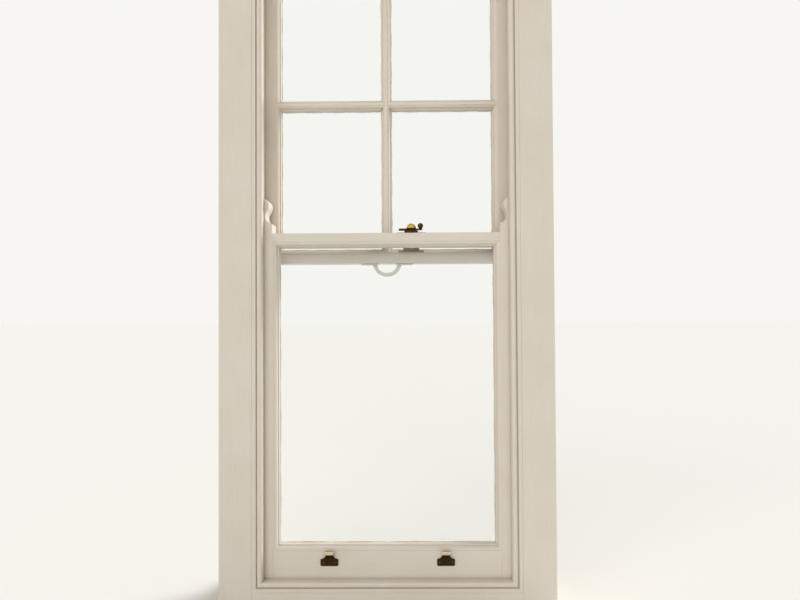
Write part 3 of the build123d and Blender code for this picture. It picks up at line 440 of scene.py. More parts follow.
# Upper sash. The same joinery with lighter stiles and two glazing bars for four panes.
# Its meeting rail's bevel meets the lower one's, and a notch takes the keeper.
UPPER_ROOM, UPPER_FLAT, UPPER_SIGHT = 5.0, 283.5, 271.5
UPPER_LOW, UP_LOW_RAIL, UP_LOW_SIGHT = 845.5, 869.5, 881.5
UP_HIGH_SIGHT, UP_HIGH_RAIL, UPPER_TOP = 1625.9, 1637.9, 1668.9
BAR_HALF, BAR_Z = 12.2, 1253.7
UPPER_OUT, UPPER_BED = UPPER_ROOM + THICK, UPPER_ROOM + GLAZING
timber_pair("upper_stile", stile(UPPER_FLAT, UPPER_SIGHT, UPPER_ROOM, UPPER_TOP, UPPER_LOW, -1,
                                 UP_LOW_SIGHT, UP_HIGH_SIGHT), paint_upright, "upper_sash")
timber("upper_top_rail", [
    board(-UPPER_FLAT, UPPER_FLAT, UPPER_ROOM, UPPER_OUT, UP_HIGH_RAIL, UPPER_TOP, 1.0),
    rail_moulding(UPPER_SIGHT, UPPER_ROOM, UP_HIGH_SIGHT, 1)], paint_level, "upper_sash")
NOTCH, NOTCH_BACK = (30.0, 94.0), 18.5
KEEPER_SEAT = UP_LOW_RAIL + 4
rail = rounded([(-1, UPPER_LOW), (UPPER_OUT, UPPER_LOW), (UPPER_OUT, UP_LOW_RAIL),
                (2, UP_LOW_RAIL)], [0.8, 1, 1, 0.8])
lip = rounded([(-1, UPPER_LOW), (UPPER_ROOM, UPPER_LOW), (UPPER_ROOM, UP_LOW_RAIL),
               (2, UP_LOW_RAIL)], [0.8, 0.2, 0.2, 0.8])
timber("upper_meeting_rail", [
    slab(rail, -UPPER_FLAT, UPPER_FLAT, "yz", 0.3), slab(lip, UPPER_FLAT, LIP, "yz", 0.3),
    slab(lip, -LIP, -UPPER_FLAT, "yz", 0.3),
    rail_moulding(UPPER_SIGHT, UPPER_ROOM, UP_LOW_SIGHT, -1, stop=NOTCH[0]),
    rail_moulding(UPPER_SIGHT, UPPER_ROOM, UP_LOW_SIGHT, -1, start=NOTCH[1]),
    board(*NOTCH, UPPER_ROOM, UPPER_BED, UP_LOW_RAIL - 1, KEEPER_SEAT, 0.6),
    board(*NOTCH, NOTCH_BACK, UPPER_BED, UP_LOW_RAIL, UP_LOW_SIGHT, 0.6)],
       paint_level, "upper_sash")

arc = np.radians(np.linspace(270, 360, 10))
BAR_NOSE, BAR_TONGUE = 3.3, 3.7
bar_ovolo = np.stack([BAR_NOSE + 5.9 * np.cos(arc), OVOLO_FOOT + OVOLO_RISE * np.sin(arc)], 1)
right_half = np.concatenate([
    [(2.7, 0), (BAR_NOSE, 0.5)], bar_ovolo,
    [(12.0, OVOLO_FOOT), (BAR_HALF, 12.2), (BAR_HALF, GLAZING), (BAR_TONGUE, GLAZING),
     (BAR_TONGUE, THICK - 0.4), (BAR_NOSE, THICK)]])
bar = np.concatenate([right_half, right_half[::-1] * (-1, 1)])
reach = np.abs(bar[:, 0])
into_rail = np.clip((BAR_HALF - reach) * MOULD / (BAR_HALF - BAR_NOSE), 0, MOULD)
timber("upper_bar_upright", [carry(bar, (0, UPPER_ROOM, 0), RIGHT, UP, UP_LOW_SIGHT - into_rail,
                                   UP_HIGH_SIGHT + into_rail)], paint_upright, "upper_sash")
cross = carry(bar, (0, UPPER_ROOM, BAR_Z), UP, RIGHT, np.maximum(reach, BAR_NOSE),
              UPPER_SIGHT + into_rail)
timber("upper_bar_cross", [cross] + flipped([cross]), paint_level, "upper_sash")


# Panes. Drawn sheet glass 4 mm thick, whose slow waves bend what is seen in it, bedded
# in the rebates and held by a bevel of linseed putty that is painted with the sash.
def drawn_glass():
    """Soda-lime glass with the faint green of its iron and a faint haze in broad patches."""
    material, tree, surface = new_material("drawn_sheet_glass")
    place = add(tree, "ShaderNodeTexCoord").outputs["Object"]
    film = noise(tree, place, 22.0, 5.0, 0.65)
    haze = add(tree, "ShaderNodeMapRange",
               {"From Min": 0.45, "From Max": 0.8, "To Min": 0.0, "To Max": 0.05},
               {"Value": film})
    tree.links.new(haze.outputs["Result"], surface.inputs["Roughness"])
    surface.inputs["Base Color"].default_value = colour("#FCFEFD")
    surface.inputs["Transmission Weight"].default_value = 1.0
    surface.inputs["IOR"].default_value = 1.52
    return material


EDGE_GAP = 1.5


def pane(x0, x1, y, z0, z1):
    """A sheet of glass that stands clear of its rebate all round: rings round its edge climb
    its height, and both faces follow the sum of three long sine waves up to 0.1 mm high."""
    columns, rows = 34, 44
    x = np.linspace(x0 + EDGE_GAP, x1 - EDGE_GAP, columns)
    row = np.concatenate([np.stack([x, np.full(columns, y)], 1),
                          np.stack([x[::-1], np.full(columns, y + GLASS)], 1)])
    z = np.linspace(z0 + EDGE_GAP, z1 - EDGE_GAP, rows)[:, None]
    across = np.broadcast_to(row[:, 0], (rows, 2 * columns))
    wave = (0.10 * np.sin(across / 31 + z / 83) + 0.08 * np.sin(z / 27 - across / 140)
            + 0.05 * np.sin(z / 13 + across / 55))
    return skin(np.stack([across, row[:, 1] + wave, np.broadcast_to(z, across.shape)], -1))


glass = drawn_glass()
LOWER_BED = LOWER_ROOM + GLAZING
BAR_LOW, BAR_HIGH = BAR_Z - BAR_TONGUE, BAR_Z + BAR_TONGUE
sheet = pane(-LOWER_FLAT, LOWER_FLAT, LOWER_BED, LOW_RAIL, HIGH_RAIL)
panes = [piece("glass_lower_pane", [sheet], glass, "lower_sash", ["lower_pane"])]
light = [pane(BAR_TONGUE, UPPER_FLAT, UPPER_BED, UP_LOW_RAIL, BAR_LOW),
         pane(BAR_TONGUE, UPPER_FLAT, UPPER_BED, BAR_HIGH, UP_HIGH_RAIL)]
panes.append(piece("glass_upper_panes", light + flipped(light), glass, "upper_sash",
                   ["upper_panes"]))
# Daylight passes straight through clear glass, so the panes cast no shadow.
for one in panes:
    one.visible_shadow = False


def frame_ring(steps):
    """Places round a frame's four sides, steps to a side, as shares of its width and height."""
    t = np.linspace(0, 1, steps, endpoint=False)
    zero, one = np.zeros(steps), np.ones(steps)
    return np.concatenate([t, one, 1 - t, zero]), np.concatenate([zero, t, one, 1 - t])


def putty(x0, x1, y, z0, z1, left, right, low, high):
    """A bevel round a pane: a wedge section whose width tapers from a full lap on the glass
    to a tenth of it at the sash's face, with the slow wander of a knife drawn by hand."""
    side_x, side_z = frame_ring(26)
    count = len(side_x)
    bed, face = GLAZING + GLASS, THICK - 0.2
    rings = []
    for share, depth in ((0, bed), (1, bed), (0.55, 35.6), (0.1, face), (0, face)):
        wander = 1 + 0.05 * np.sin(np.arange(count) * 0.9) * (0 < share < 1)
        a0, a1 = x0 + left * share * wander, x1 - right * share * wander
        b0, b1 = z0 + low * share * wander, z1 - high * share * wander
        rings.append(np.stack([a0 + (a1 - a0) * side_x, np.full(count, y + depth),
                               b0 + (b1 - b0) * side_z], 1))
    return skin(np.array(rings), closed=True)


# A bevel reaches 11 mm in from the rebate of a rail or stile and 7.5 from a bar's tongue.
RAIL_LAP, BAR_LAP = 11, 7.5
bevel = putty(-LOWER_FLAT, LOWER_FLAT, LOWER_ROOM, LOW_RAIL, HIGH_SIGHT + 0.6,
              RAIL_LAP, RAIL_LAP, RAIL_LAP, 0)
piece("putty_lower", [bevel], paint_level, "lower_sash", ["lower_putty"], 50)
bevels = [putty(BAR_TONGUE, UPPER_FLAT, UPPER_ROOM, UP_LOW_RAIL, BAR_LOW,
                BAR_LAP, RAIL_LAP, RAIL_LAP, BAR_LAP),
          putty(BAR_TONGUE, UPPER_FLAT, UPPER_ROOM, BAR_HIGH, UP_HIGH_RAIL,
                BAR_LAP, RAIL_LAP, BAR_LAP, RAIL_LAP)]
piece("putty_upper", bevels + flipped(bevels), paint_level, "upper_sash", ["upper_putty"],
      50)


def lapped_paint(x0, x1, y, z0, z1):
    """Paint brushed over the edge of the glass in the room: a thin frame inside the sight
    lines, whose width wanders between 0.65 and 2.75 mm as a sum of sines round the opening."""
    side_x, side_z = frame_ring(110)
    k = np.arange(len(side_x))
    wide = 1.7 + 0.5 * np.sin(k * 0.23 + x0) + 0.3 * np.sin(k * 0.81 + z0) + 0.25 * np.sin(k * 1.9)
    behind = np.full(len(k), -1.0)
    rings = []
    for inset, depth in ((behind, 0.3), (behind, -0.35), (0.8 * wide, -0.35), (wide, 0.3)):
        a0, a1, b0, b1 = x0 + inset, x1 - inset, z0 + inset, z1 - inset
        rings.append(np.stack([a0 + (a1 - a0) * side_x, np.full(len(k), y + depth),
                               b0 + (b1 - b0) * side_z], 1))
    return skin(np.array(rings), closed=True)


# This coat has no painted shade in its corners.
paint_without_corner_shade = oil_paint("oil_paint_lapped_on_glass", "X", 0.0)
edge = lapped_paint(-LOWER_SIGHT, LOWER_SIGHT, LOWER_BED, LOW_SIGHT, HIGH_SIGHT)
piece("paint_edge_lower", [edge], paint_without_corner_shade, "lower_sash", ["lower_putty"], 50)
edges = [lapped_paint(BAR_HALF, UPPER_SIGHT, UPPER_BED, UP_LOW_SIGHT, BAR_Z - BAR_HALF),
         lapped_paint(BAR_HALF, UPPER_SIGHT, UPPER_BED, BAR_Z + BAR_HALF, UP_HIGH_SIGHT)]
piece("paint_edge_upper", edges + flipped(edges), paint_without_corner_shade, "upper_sash", ["upper_putty"],
      50)


# Pulleys. Cast cases with rounded face plates let in flush and painted over with the
# stile, steel axles, and turned brass wheels grooved for the cord.
def painted_metal(name, code, dull):
    """Metal under thick gloss paint that has pooled and softened the edges."""
    material, tree, surface = new_material(name)
    place = add(tree, "ShaderNodeTexCoord").outputs["Object"]
    sag = noise(tree, place, 160.0, 2.0)
    tree.links.new(mix(tree, code, dull, sag), surface.inputs["Base Color"])
    emboss(tree, surface, 0.3, 0.0004, sag)
    surface.inputs["Roughness"].default_value = 0.24
    return material


def metal(name, bright, tarnish, low, high, grain, rough, rubbed_and_lit=None):
    """Bare metal: noise of a given grain in cycles a metre lays tarnish over the bright
    colour, and handling polishes what stands proud. Where hands rub it and a highlight is
    painted on, the tarnish fades out between two distances in millimetres along -Y."""
    material, tree, surface = new_material(name)
    place = add(tree, "ShaderNodeTexCoord").outputs["Object"]
    patch = noise(tree, place, grain, 6.0, 0.62)
    hollow = add(tree, "ShaderNodeAmbientOcclusion", {"Distance": 0.006, "samples": 6})
    kept = add(tree, "ShaderNodeMath", {"operation": "MULTIPLY_ADD", 1: -0.55, 2: 0.5},
               {0: hollow.outputs["AO"]})
    sum_up = add(tree, "ShaderNodeMath", {"operation": "ADD"}, {0: kept.outputs[0], 1: patch})
    share = add(tree, "ShaderNodeMapRange", {"From Min": low, "From Max": high},
                {"Value": sum_up.outputs[0]})
    # Beyond the second distance the bright colour is a painted highlight as well as rubbed brass.
    if rubbed_and_lit:
        depth = add(tree, "ShaderNodeSeparateXYZ", {}, {"Vector": place}).outputs[1]
        kept = add(tree, "ShaderNodeMapRange",
                   {"From Min": -rubbed_and_lit[0] * MM, "From Max": -rubbed_and_lit[1] * MM,
                    "To Min": 1.0, "To Max": 0.08}, {"Value": depth})
        share = add(tree, "ShaderNodeMapRange", {"From Max": 1.0},
                    {"Value": share.outputs["Result"], "To Max": kept.outputs["Result"]})
    tone = mix(tree, bright, tarnish, share.outputs["Result"])
    tree.links.new(tone, surface.inputs["Base Color"])
    polish = add(tree, "ShaderNodeMapRange", {"To Min": rough, "To Max": rough + 0.25},
                 {"Value": share.outputs["Result"]})
    tree.links.new(polish.outputs["Result"], surface.inputs["Roughness"])
    emboss(tree, surface, 0.25, 0.0002, patch)
    surface.inputs["Metallic"].default_value = 1.0
    return material


aged_brass = metal("aged_brass", "#B98F4A", "#4A361D", 0.2, 0.7, 240.0, 0.24)
dark_brass = metal("darkened_brass", "#8A6B3E", "#43311C", -0.1, 0.6, 200.0, 0.32)
turned_steel = metal("turned_steel", "#A6A39D", "#5F5A54", 0.35, 0.8, 300.0, 0.3)
case_paint = painted_metal("paint_over_cast_case", "#DDD4C6", "#CFC4B2")
finish(case_paint, "pulley_cases")
finish(turned_steel, "pulley_axles")


def turned(profile, centre, axis="y", steps=56, closed=False):
    """A lathe-turned solid round an axis along y or z: each (radius, height) point of the
    profile becomes a circle."""
    radius, height = np.asarray(profile, float).T[..., None]
    angle = np.linspace(0, 2 * math.pi, steps, endpoint=False)
    rings = np.stack([radius * np.cos(angle), radius * np.sin(angle), height + 0 * angle], -1)
    order = {"y": (0, 2, 1), "z": (0, 1, 2)}[axis]
    return skin(rings[..., order] + np.asarray(centre, float), closed)


AXLE_X, AXLE_Z, PLANE = 338.0, 1615.9, 27
PITCH, CORD_SEAT, WHEEL_RIM, PLATE_SCREW = 25, 3.3, 26.5, 49
arc = np.radians(np.linspace(90, 270, 11))
cord_groove = np.stack([PITCH + CORD_SEAT * np.cos(arc), CORD_SEAT * np.sin(arc)], 1)
rest = rounded([(WHEEL_RIM, -CORD_SEAT), (WHEEL_RIM, -6), (19.7, -6), (19.7, -3), (7, -3),
                (7, -6), (3.06, -6), (3.06, 6), (7, 6), (7, 3), (19.7, 3), (19.7, 6),
                (WHEEL_RIM, 6), (WHEEL_RIM, CORD_SEAT)], 0.7, 3)
wheel = np.concatenate([cord_groove, rest])
for level, y in (("lower", -PLANE), ("upper", PLANE)):
    for side, x in (("left", -AXLE_X), ("right", AXLE_X)):
        node = f"pulley_wheel_{level}_{side}"
        piece("turned_" + node, [turned(wheel, (x, y, AXLE_Z), closed=True)], aged_brass,
              f"wheel_{level}_{side}", [node], 40)


# Screws. Raised countersunk heads with one slot, each turned to its own angle, on
# tapering shanks: brass on the lower sash, and painted on the upper sash and pulleys.
def screw(head, into, slot_angle):
    """A head and a shank. The head is made of chords across a disc: the height of its low
    dome is 0.5 (1 - r squared), and the two chords along the slot drop by its depth."""
    radius, dome, slot_depth, underside = 3.6, 0.5, 0.8, -1.6
    a = np.array([-1, -0.94, -0.8, -0.6, -0.36, -0.13, -0.13, 0.13, 0.13, 0.36, 0.6, 0.8, 0.94, 1])
    sunk = np.zeros(len(a))
    sunk[6:8] = slot_depth
    y = np.linspace(-1, 1, 11) * np.sqrt(1 - a ** 2)[:, None]
    x = np.broadcast_to(a[:, None], y.shape)
    top = dome * (1 - x ** 2 - y ** 2) - sunk[:, None]
    upper = np.stack([x * radius, y * radius, top], -1)
    under = np.stack([x * radius * 0.75, y * radius * 0.75, np.full(y.shape, underside)], -1)
    cap = skin(np.concatenate([upper, under[:, ::-1]], 1))
    shank = turned([(0, -1.2), (radius * 0.6, -1.2), (1.7, -2.2), (1.7, -14.6), (0.3, -17.9),
                    (0, -17.9)], (0, 0, 0), "z", 16)
    out = -into
    side = np.cross(out, (0, 0, 1) if abs(out[2]) < 0.5 else (1, 0, 0))
    turn = math.radians(slot_angle)
    first = math.cos(turn) * side + math.sin(turn) * np.cross(out, side)
    basis = np.stack([first, np.cross(out, first), out])
    return [(points @ basis + np.asarray(head, float), faces) for points, faces in (cap, shank)]


plate_screws = []
for y in (-PLANE, PLANE):
    for k, z in enumerate((AXLE_Z - PLATE_SCREW, AXLE_Z + PLATE_SCREW)):
        plate_screws += screw((OPENING_HALF, y, z), RIGHT, 35 + 80 * k + y)
piece("screws_of_pulleys", plate_screws + flipped(plate_screws), case_paint, "frame",
      ["pulley_screws"])

# Cords and weights. Waxed cotton braid 6 mm thick runs from a knot in each stile's edge
# over its wheel to a cast-iron weight, which slides in the box beside a wagtail board.
CORD_X, KNOT_X, WEIGHT_X, CORD_R = 313.0, 310.5, 363.0, 3.0


def cotton_braid(name, along_object):
    """Solid braided sash cord: two sets of four strands cross as sine waves round and along
    the cord, 6 mm from one strand to the next, and the gaps between strands are coloured
    darker as painted shade. Straight runs count along Z, bends along their own length."""
    material, tree, surface = new_material(name)
    round_it = add(tree, "ShaderNodeAttribute", {"attribute_name": "round"})
    split = add(tree, "ShaderNodeSeparateXYZ", {}, {"Vector": round_it.outputs["Vector"]})
    angle = add(tree, "ShaderNodeMath", {"operation": "ARCTAN2"},
                {0: split.outputs[1], 1: split.outputs[0]})
    run = split.outputs[2]
    if along_object:
        place = add(tree, "ShaderNodeTexCoord").outputs["Object"]
        run = add(tree, "ShaderNodeSeparateXYZ", {}, {"Vector": place}).outputs[2]
    strands = []
    for way in (1, -1):
        phase = add(tree, "ShaderNodeMath",
                    {"operation": "MULTIPLY", 1: way * 2 * math.pi / 0.006}, {0: run})
        turns = add(tree, "ShaderNodeMath", {"operation": "MULTIPLY_ADD", 1: 4.0},
                    {0: angle.outputs[0], 2: phase.outputs[0]})
        strands.append(add(tree, "ShaderNodeMath", {"operation": "SINE"},
                           {0: turns.outputs[0]}).outputs[0])
    weave = add(tree, "ShaderNodeMath", {"operation": "MAXIMUM"},
                {0: strands[0], 1: strands[1]}).outputs[0]
    # The low places of the weave, between the strands, are coloured darker: painted shade.
    shade = add(tree, "ShaderNodeMapRange", {"From Min": -0.6, "From Max": 0.9}, {"Value": weave})
    tone = mix(tree, "#A2967B", "#DAD0B7", shade.outputs["Result"])
    tree.links.new(tone, surface.inputs["Base Color"])
    emboss(tree, surface, 0.8, 0.0005, weave)
    surface.inputs["Roughness"].default_value = 0.7
    surface.inputs["Sheen Weight"].default_value = 0.2
    return material


def cord_tube(name, path, material, body, node):
    """A round cord along a path of points at one depth, with each point's place round the
    cord and its distance along it kept for the braid."""
    path = np.asarray(path, float)
    ahead = np.gradient(path, axis=0)
    ahead /= np.linalg.norm(ahead, axis=1, keepdims=True)
    side = np.cross(ahead, DEEP)
    angle = np.linspace(0, 2 * math.pi, 18, endpoint=False)[None, :, None]
    rings = path[:, None] + CORD_R * (np.cos(angle) * side[:, None] + np.sin(angle) * DEEP)
    made = piece(name, [skin(rings)], material, body, [node], 60)
    at = np.array([v.co for v in made.data.vertices]) / MM
    near = np.argmin(np.linalg.norm(at[:, None] - path[None], axis=2), axis=1)
    off = at - path[near]
    length = np.concatenate([[0], np.cumsum(np.linalg.norm(np.diff(path, axis=0), axis=1))]) * MM
    values = np.stack([(off * side[near]).sum(1), off @ DEEP, length[near]], 1)
    kept = made.data.attributes.new("round", "FLOAT_VECTOR", "POINT")
    kept.data.foreach_set("vector", values.ravel())
    return made


braid = cotton_braid("waxed_cotton_braid", True)
braid_bend = cotton_braid("waxed_cotton_braid_on_wheel", False)
knot_line = [(0, -5), (2.2, -4.8), (4, -3.6), (4.9, -1.6), (4.6, 0.2), (4.9, 1.8), (3.9, 3.8),
             (2.2, 4.8), (0, 5)]
arc = np.radians(np.linspace(180, 0, 41))
for side, x in (("left", -1), ("right", 1)):
    for level, y, knot_z, tail_z in (("lower", -PLANE, 741, 1536.2),
                                     ("upper", PLANE, 1405.9, 636.2)):
        node, body = f"sash_cords_{level}", f"{level}_sash"
        top, low = (x * CORD_X, y, AXLE_Z), (x * CORD_X, y, knot_z)
        run = cord_tube(f"cord_{level}_{side}", [top, low], braid, None, node)
        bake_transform(run)
        knot = turned(knot_line, (x * KNOT_X, y, knot_z), "z", 20)
        piece(f"cord_knot_{level}_{side}", [knot], braid, body, [node], 60)
        bend = np.stack([AXLE_X * x + PITCH * x * np.cos(arc), np.full(len(arc), y),
                         AXLE_Z + PITCH * np.sin(arc)], 1)
        cord_tube(f"cord_bend_{level}_{side}", bend, braid_bend, "frame", "cord_bends")
        node, body = f"weight_cord_{level}_{side}", f"ballast_{level}_{side}"
        top, low = (x * WEIGHT_X, y, AXLE_Z), (x * WEIGHT_X, y, tail_z)
        tail = cord_tube(f"cord_tail_{level}_{side}", [top, low], braid, None, node)
        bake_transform(tail)
        piece(f"cord_stop_{level}_{side}", [turned(knot_line, low, "z", 20)], braid, body,
              [node], 60)


def cast_iron():
    """Sand-cast iron: a grain of 1 mm from the mould, dark scale, and rust in patches."""
    material, tree, surface = new_material("sand_cast_iron")
    place = add(tree, "ShaderNodeTexCoord").outputs["Object"]
    grit = noise(tree, place, 900.0, 2.0)
    patch = noise(tree, place, 30.0, 5.0)
    rust = add(tree, "ShaderNodeMapRange", {"From Min": 0.45, "From Max": 0.7}, {"Value": patch})
    tone = mix(tree, "#35322F", "#6E4028", rust.outputs["Result"])
    tree.links.new(tone, surface.inputs["Base Color"])
    emboss(tree, surface, 0.7, 0.0004, grit)
    surface.inputs["Roughness"].default_value = 0.72
    surface.inputs["Metallic"].default_value = 0.35
    return material


finish(cast_iron(), "weight_lower_left", "weight_lower_right", "weight_upper_left",
       "weight_upper_right")

# Bow handle. A cast bow with flat feet screwed up under the upper meeting rail to pull
# that sash down by, covered in many coats of white gloss paint.
BOW_Y, BOW_PLATE, BOW_HALF, BOW_DROP, BOW_BAR = 21.0, 3.5, 30.45, 26.45, 4.75
FOOT_NEAR, FOOT_MID, FOOT_FAR, FOOT_HALF = 25.65, 45.95, 66.25, 9
white_gloss = painted_metal("white_gloss_on_iron", "#E9E6DD", "#DDD8CB")
angle = np.radians(np.linspace(180, 360, 49))
centre = np.stack([BOW_HALF * np.cos(angle), np.full(len(angle), BOW_Y),
                   UPPER_LOW - BOW_PLATE / 2 + BOW_DROP * np.sin(angle)], 1)
ahead = np.stack([-BOW_HALF * np.sin(angle), 0 * angle, BOW_DROP * np.cos(angle)], 1)
ahead /= np.linalg.norm(ahead, axis=1, keepdims=True)
side = np.cross(ahead, DEEP)
rise = UPPER_LOW - BOW_PLATE - centre[:, 2]
# The bar swells into its feet over the first few millimetres below them.
thick = (BOW_BAR + 2.4 * np.exp(-np.maximum(rise, 0) / 2.6))[:, None, None]
spin = np.linspace(0, 2 * math.pi, 28, endpoint=False)[None, :, None]
bow = skin(centre[:, None] + thick * (np.cos(spin) * side[:, None] + np.sin(spin) * DEEP))
bow[0][:, 2] = np.minimum(bow[0][:, 2], UPPER_LOW - 0.4)
foot = rounded([(FOOT_NEAR, BOW_Y - FOOT_HALF), (FOOT_FAR, BOW_Y - FOOT_HALF),
                (FOOT_FAR, BOW_Y + FOOT_HALF), (FOOT_NEAR, BOW_Y + FOOT_HALF)], 8, 8)
feet = [slab(foot, UPPER_LOW - BOW_PLATE, UPPER_LOW, "xy", 1.0)]
piece("cast_bow_handle", [bow] + feet + flipped(feet), white_gloss, "upper_sash",
      ["bow_handle"], 42)


# Fastener. A brass quadrant lever with a domed hub and a ball for the thumb, on a plate
# on the lower meeting rail. Its keeper sits in the notch of the upper meeting rail.
PIVOT = PIVOT_X, PIVOT_Y, PLATE_TOP = 62.0, -20.0, 919.0
corners = [(25, -32), (99, -32), (99, -8), (25, -8)]
plate = slab(rounded(corners, 6, 6), LOWER_TOP, PLATE_TOP, "xy", 1.1)
seat = slab(rounded([(45, -31), (79, -31), (79, -9), (45, -9)], 10.8, 8),
            PLATE_TOP - 0.5, PLATE_TOP + 5.4, "xy", 1.6)
post = turned([(0, 5), (4, 5), (4, 10.6), (3.6, 11), (0, 11)], PIVOT, "z", 32)
piece("brass_fastener_plate", [plate, seat, post], dark_brass, "lower_sash",
      ["fastener_base"], 42)

DOME, BALL = 12, 6.9
arc = np.radians(np.linspace(90, 0, 13))
cap = np.stack([DOME * np.cos(arc), 12 + DOME * np.sin(arc)], 1)
dome = turned(np.concatenate([cap, [(11.6, 11.4), (0, 11.4)]]), PIVOT, "z")
# The dome gets paler brass than the rest of the lever: a painted highlight as well as rubbing.
dome_brass_with_painted_highlight = metal("dome_brass_brightened_as_highlight", "#F0D27C", "#8C6A30", 0.1, 0.9, 240.0, 0.18)
piece("brass_fastener_dome", [dome], dome_brass_with_painted_highlight, "lever", ["fastener_lever"], 42)
hub_line = [(0, 11.9), (10.4, 11.9), (10.8, 11.2), (9.6, 10.4), (9, 9.6), (9, 9), (9.5, 8.7),
            (9.5, 8.1), (9, 7.8), (9, 6.1), (8.6, 5.7), (4.06, 5.7), (4.06, 11.3), (0, 11.3)]
blade = rounded([(-4, -6), (-26, -4.6), (-31.4, -3), (-31.4, 3), (-26, 4.6), (-4, 6)],
                [1, 3, 2.6, 2.6, 3, 1], 5)
stalk = rounded([(6, -3.6), (23, -3.4), (27.5, -2), (27.5, 2), (23, 3.4), (6, 3.6)],
                [1, 3, 2, 2, 3, 1], 5)
arc = np.radians(np.linspace(-62, 90, 15))
ball = np.stack([BALL * np.cos(arc), 18 + BALL * np.sin(arc)], 1)
knob = np.concatenate([[(0, 9), (4.3, 9), (4.6, 9.6), (4.5, 10.8), (3.6, 11.3)], ball])
lever = [turned(hub_line, (0, 0, 0), "z"), slab(blade, 6, 11, "xy", 1.0),
         slab(stalk, 7, 11, "xy", 1.0), turned(knob, (23, 0, 0), "z", 40)]
lever = [(points + PIVOT, faces) for points, faces in lever]
piece("brass_fastener_lever", lever, dark_brass, "lever", ["fastener_lever"], 42)

KEEPER_Y, KEEPER_TOP = 10.25, KEEPER_SEAT + 3
keeper_plate = slab(rounded([(31, 3), (93, 3), (93, 17.5), (31, 17.5)], 2.5, 5),
                    KEEPER_SEAT, KEEPER_TOP, "xy", 0.9)
catch = rounded([(17.5, 0.5), (17.5, 16.5), (5, 16.5), (5, 13.5), (13.5, 13.5), (13.5, 0.5)],
                [0.3, 3.2, 1.2, 1.2, 1.5, 0.3], 5) + (0, KEEPER_SEAT)
piece("brass_keeper", [keeper_plate, slab(catch, 42, 82, "yz", 0.9)], aged_brass, "upper_sash",
      ["fastener_keeper"], 42)


# Hook lifts. Cast brass finger hooks screwed to the bottom rail: a low plate, and a
# tongue that leans out and curls over to a lip polished by use. The plate's dark
# tarnish is partly painted shade, and the lip's pale brass partly a painted highlight.
def smooth(points):
    """A curve through every point, each piece a cubic that leaves along the chord of the
    point's neighbours."""
    points = np.asarray(points, float)
    padded = np.concatenate([[2 * points[0] - points[1]], points, [2 * points[-1] - points[-2]]])
    tangent = (padded[2:] - padded[:-2]) / 2
    curve = cubic(points[:-1, None], tangent[:-1, None], points[1:, None], tangent[1:, None],
                  8, False)
    return np.concatenate([curve.reshape(-1, 2), points[-1:]])


LIFT_X, LIFT_LOW, PLATE_FACE = 141.5, 106.5, LOWER_ROOM - 3.2
ROOT_HALF, LIP_HALF = 9.5, 13
back = smooth([(0, 13), (0.4, 22), (3.4, 30.5), (9, 36.8), (17, 40), (22.5, 38.9), (25, 37.4)])
front = smooth([(24.6, 35.2), (22.6, 34.6), (17.5, 36), (11, 32.4), (5.4, 24), (3.7, 18),
                (3.3, 13)])
curl = np.concatenate([back, front]) * (-1, 1) + (LOWER_ROOM, LIFT_LOW)
plate_line = rounded([(-21.5, 0), (21.5, 0), (21.5, 17), (15.5, 17), (9.5, 23), (9.5, 27),
                      (-9.5, 27), (-9.5, 23), (-15.5, 17), (-21.5, 17)],
                     [3.4, 3.4, 3.4, 2.5, 2.5, 0.5, 0.5, 2.5, 2.5, 3.4], 6)
# Painted light: the near-black tarnish on the plate stands in partly for shade, and the pale lip
# partly for a highlight.
lift_brass_with_painted_light = metal("brass_with_painted_shade_and_lip_highlight", "#E6D4AE", "#3E2D1A", -0.4, 0.34, 200.0, 0.22,
                   (57, 66))
lifts, lower_screws = [], []
for x in (-LIFT_X, LIFT_X):
    lifts.append(slab(plate_line + (x, LIFT_LOW), PLATE_FACE, LOWER_ROOM, "xz", 1.0))
    # The tongue widens from its root to its lip, from 24 mm up over a height of 16 mm.
    tongue, faces = slab(curl, -LIP_HALF, LIP_HALF, "yz", 1.2)
    height = np.clip((tongue[:, 2] - LIFT_LOW - 24) / 16, 0, 1)
    half = ROOT_HALF + (LIP_HALF - ROOT_HALF) * height
    tongue[:, 0] = x + tongue[:, 0] * half / LIP_HALF
    lifts.append((tongue, faces))
    for k in (-1, 1):
        lower_screws += screw((x + 15.5 * k, PLATE_FACE, LIFT_LOW + 8.5), DEEP, 50 * k + x)
piece("brass_hook_lifts", lifts, lift_brass_with_painted_light, "lower_sash", ["sash_lifts"], 42)
for k in (-1, 1):
    lower_screws += screw((PIVOT_X + 30 * k, PIVOT_Y, PLATE_TOP), -UP, 20 + 70 * k)
piece("screws_of_lower_sash", lower_screws, dark_brass, "lower_sash", ["lower_sash_screws"])
upper_screws = []
for x in (-FOOT_MID, FOOT_MID):
    for k in (-0.2, 0.8):
        head = (x + math.copysign(1, x) * k * 12, BOW_Y, UPPER_LOW - BOW_PLATE)
        upper_screws += screw(head, UP, 60 * k + x)
for k in (-1, 1):
    upper_screws += screw((PIVOT_X + 25.5 * k, KEEPER_Y, KEEPER_TOP), -UP, 40 * k)
piece("screws_of_upper_sash", upper_screws, white_gloss, "upper_sash", ["upper_sash_screws"])


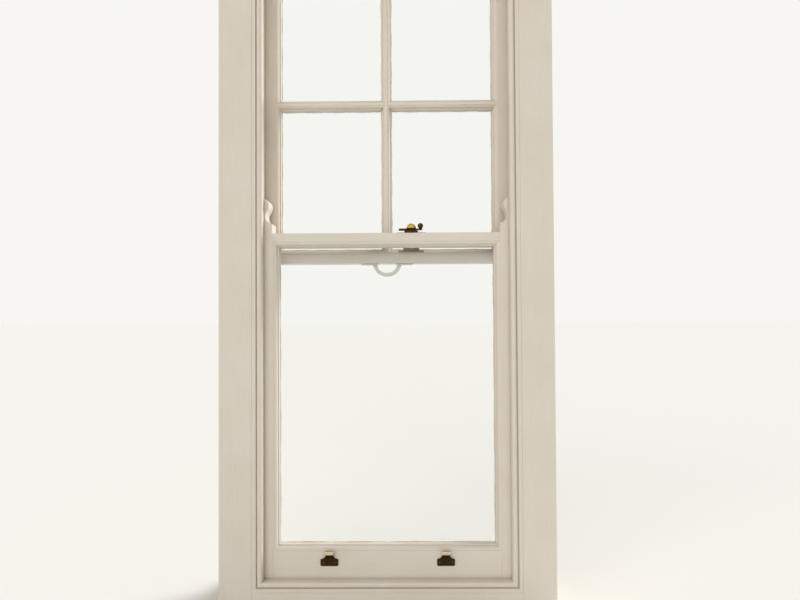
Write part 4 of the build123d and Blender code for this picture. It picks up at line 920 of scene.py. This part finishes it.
# Studio. A pale floor under a white surround, soft daylight from the garden side for the
# bright edges of the mouldings, a weaker one from the room, and the camera in the room.
def daylight(name, place, strength, spread):
    """A soft sun that shines from a place towards the window's middle. Its disc is spread
    degrees wide, which blurs the shadows as an overcast sky or a large window does."""
    data = bpy.data.lights.new(name, "SUN")
    data.energy, data.angle = strength, math.radians(spread)
    made = bpy.data.objects.new(name, data)
    bpy.context.scene.collection.objects.link(made)
    made.location = place
    away = Vector(place) - Vector((0, 0, 0.9))
    made.rotation_euler = away.to_track_quat("Z", "Y").to_euler()
    # The panes would mirror so wide a disc as a hard-edged white patch.
    made.visible_glossy = made.visible_transmission = False


daylight("garden_light", (3.3, 2.3, 2.9), 3.8, 40)
daylight("room_light", (-1.6, -3.0, 2.6), 1.05, 60)

world = bpy.data.worlds.new("white_room")
bpy.context.scene.world = world
world.use_nodes = True
sky = world.node_tree
sky.nodes["Background"].inputs["Color"].default_value = colour("#F4F3F0")
sky.nodes["Background"].inputs["Strength"].default_value = 0.45
seen = add(sky, "ShaderNodeBackground", {"Color": colour("#F7F6F3"), "Strength": 1.0})
path = add(sky, "ShaderNodeLightPath")
either = add(sky, "ShaderNodeMath", {"operation": "MAXIMUM"},
             {0: path.outputs["Is Camera Ray"], 1: path.outputs["Is Transmission Ray"]})
any_ray = add(sky, "ShaderNodeMath", {"operation": "MAXIMUM"},
              {0: either.outputs[0], 1: path.outputs["Is Glossy Ray"]})
both = add(sky, "ShaderNodeMixShader", {},
           {0: any_ray.outputs[0], 1: sky.nodes["Background"].outputs[0], 2: seen.outputs[0]})
sky.links.new(both.outputs[0], sky.nodes["World Output"].inputs["Surface"])

pale, tree, surface = new_material("pale_floor")
surface.inputs["Base Color"].default_value = colour("#ECEAE5")
surface.inputs["Roughness"].default_value = 0.85
mesh = bpy.data.meshes.new("floor")
mesh.from_pydata([(-30, -30, 0), (30, -30, 0), (30, 30, 0), (-30, 30, 0)], [], [(0, 1, 2, 3)])
mesh.materials.append(pale)
floor = bpy.data.objects.new("floor", mesh)
bpy.context.scene.collection.objects.link(floor)

lens = bpy.data.cameras.new("camera")
lens.lens = 25.77
lens.sensor_width = 36.0
camera = bpy.data.objects.new("camera", lens)
camera.location = (0.0457, -1.4493, 0.7274)
camera.rotation_euler = (math.radians(90.97), math.radians(0.30), math.radians(0.515))
bpy.context.scene.collection.objects.link(camera)
bpy.context.scene.camera = camera
bpy.context.scene.view_settings.view_transform = "Standard"
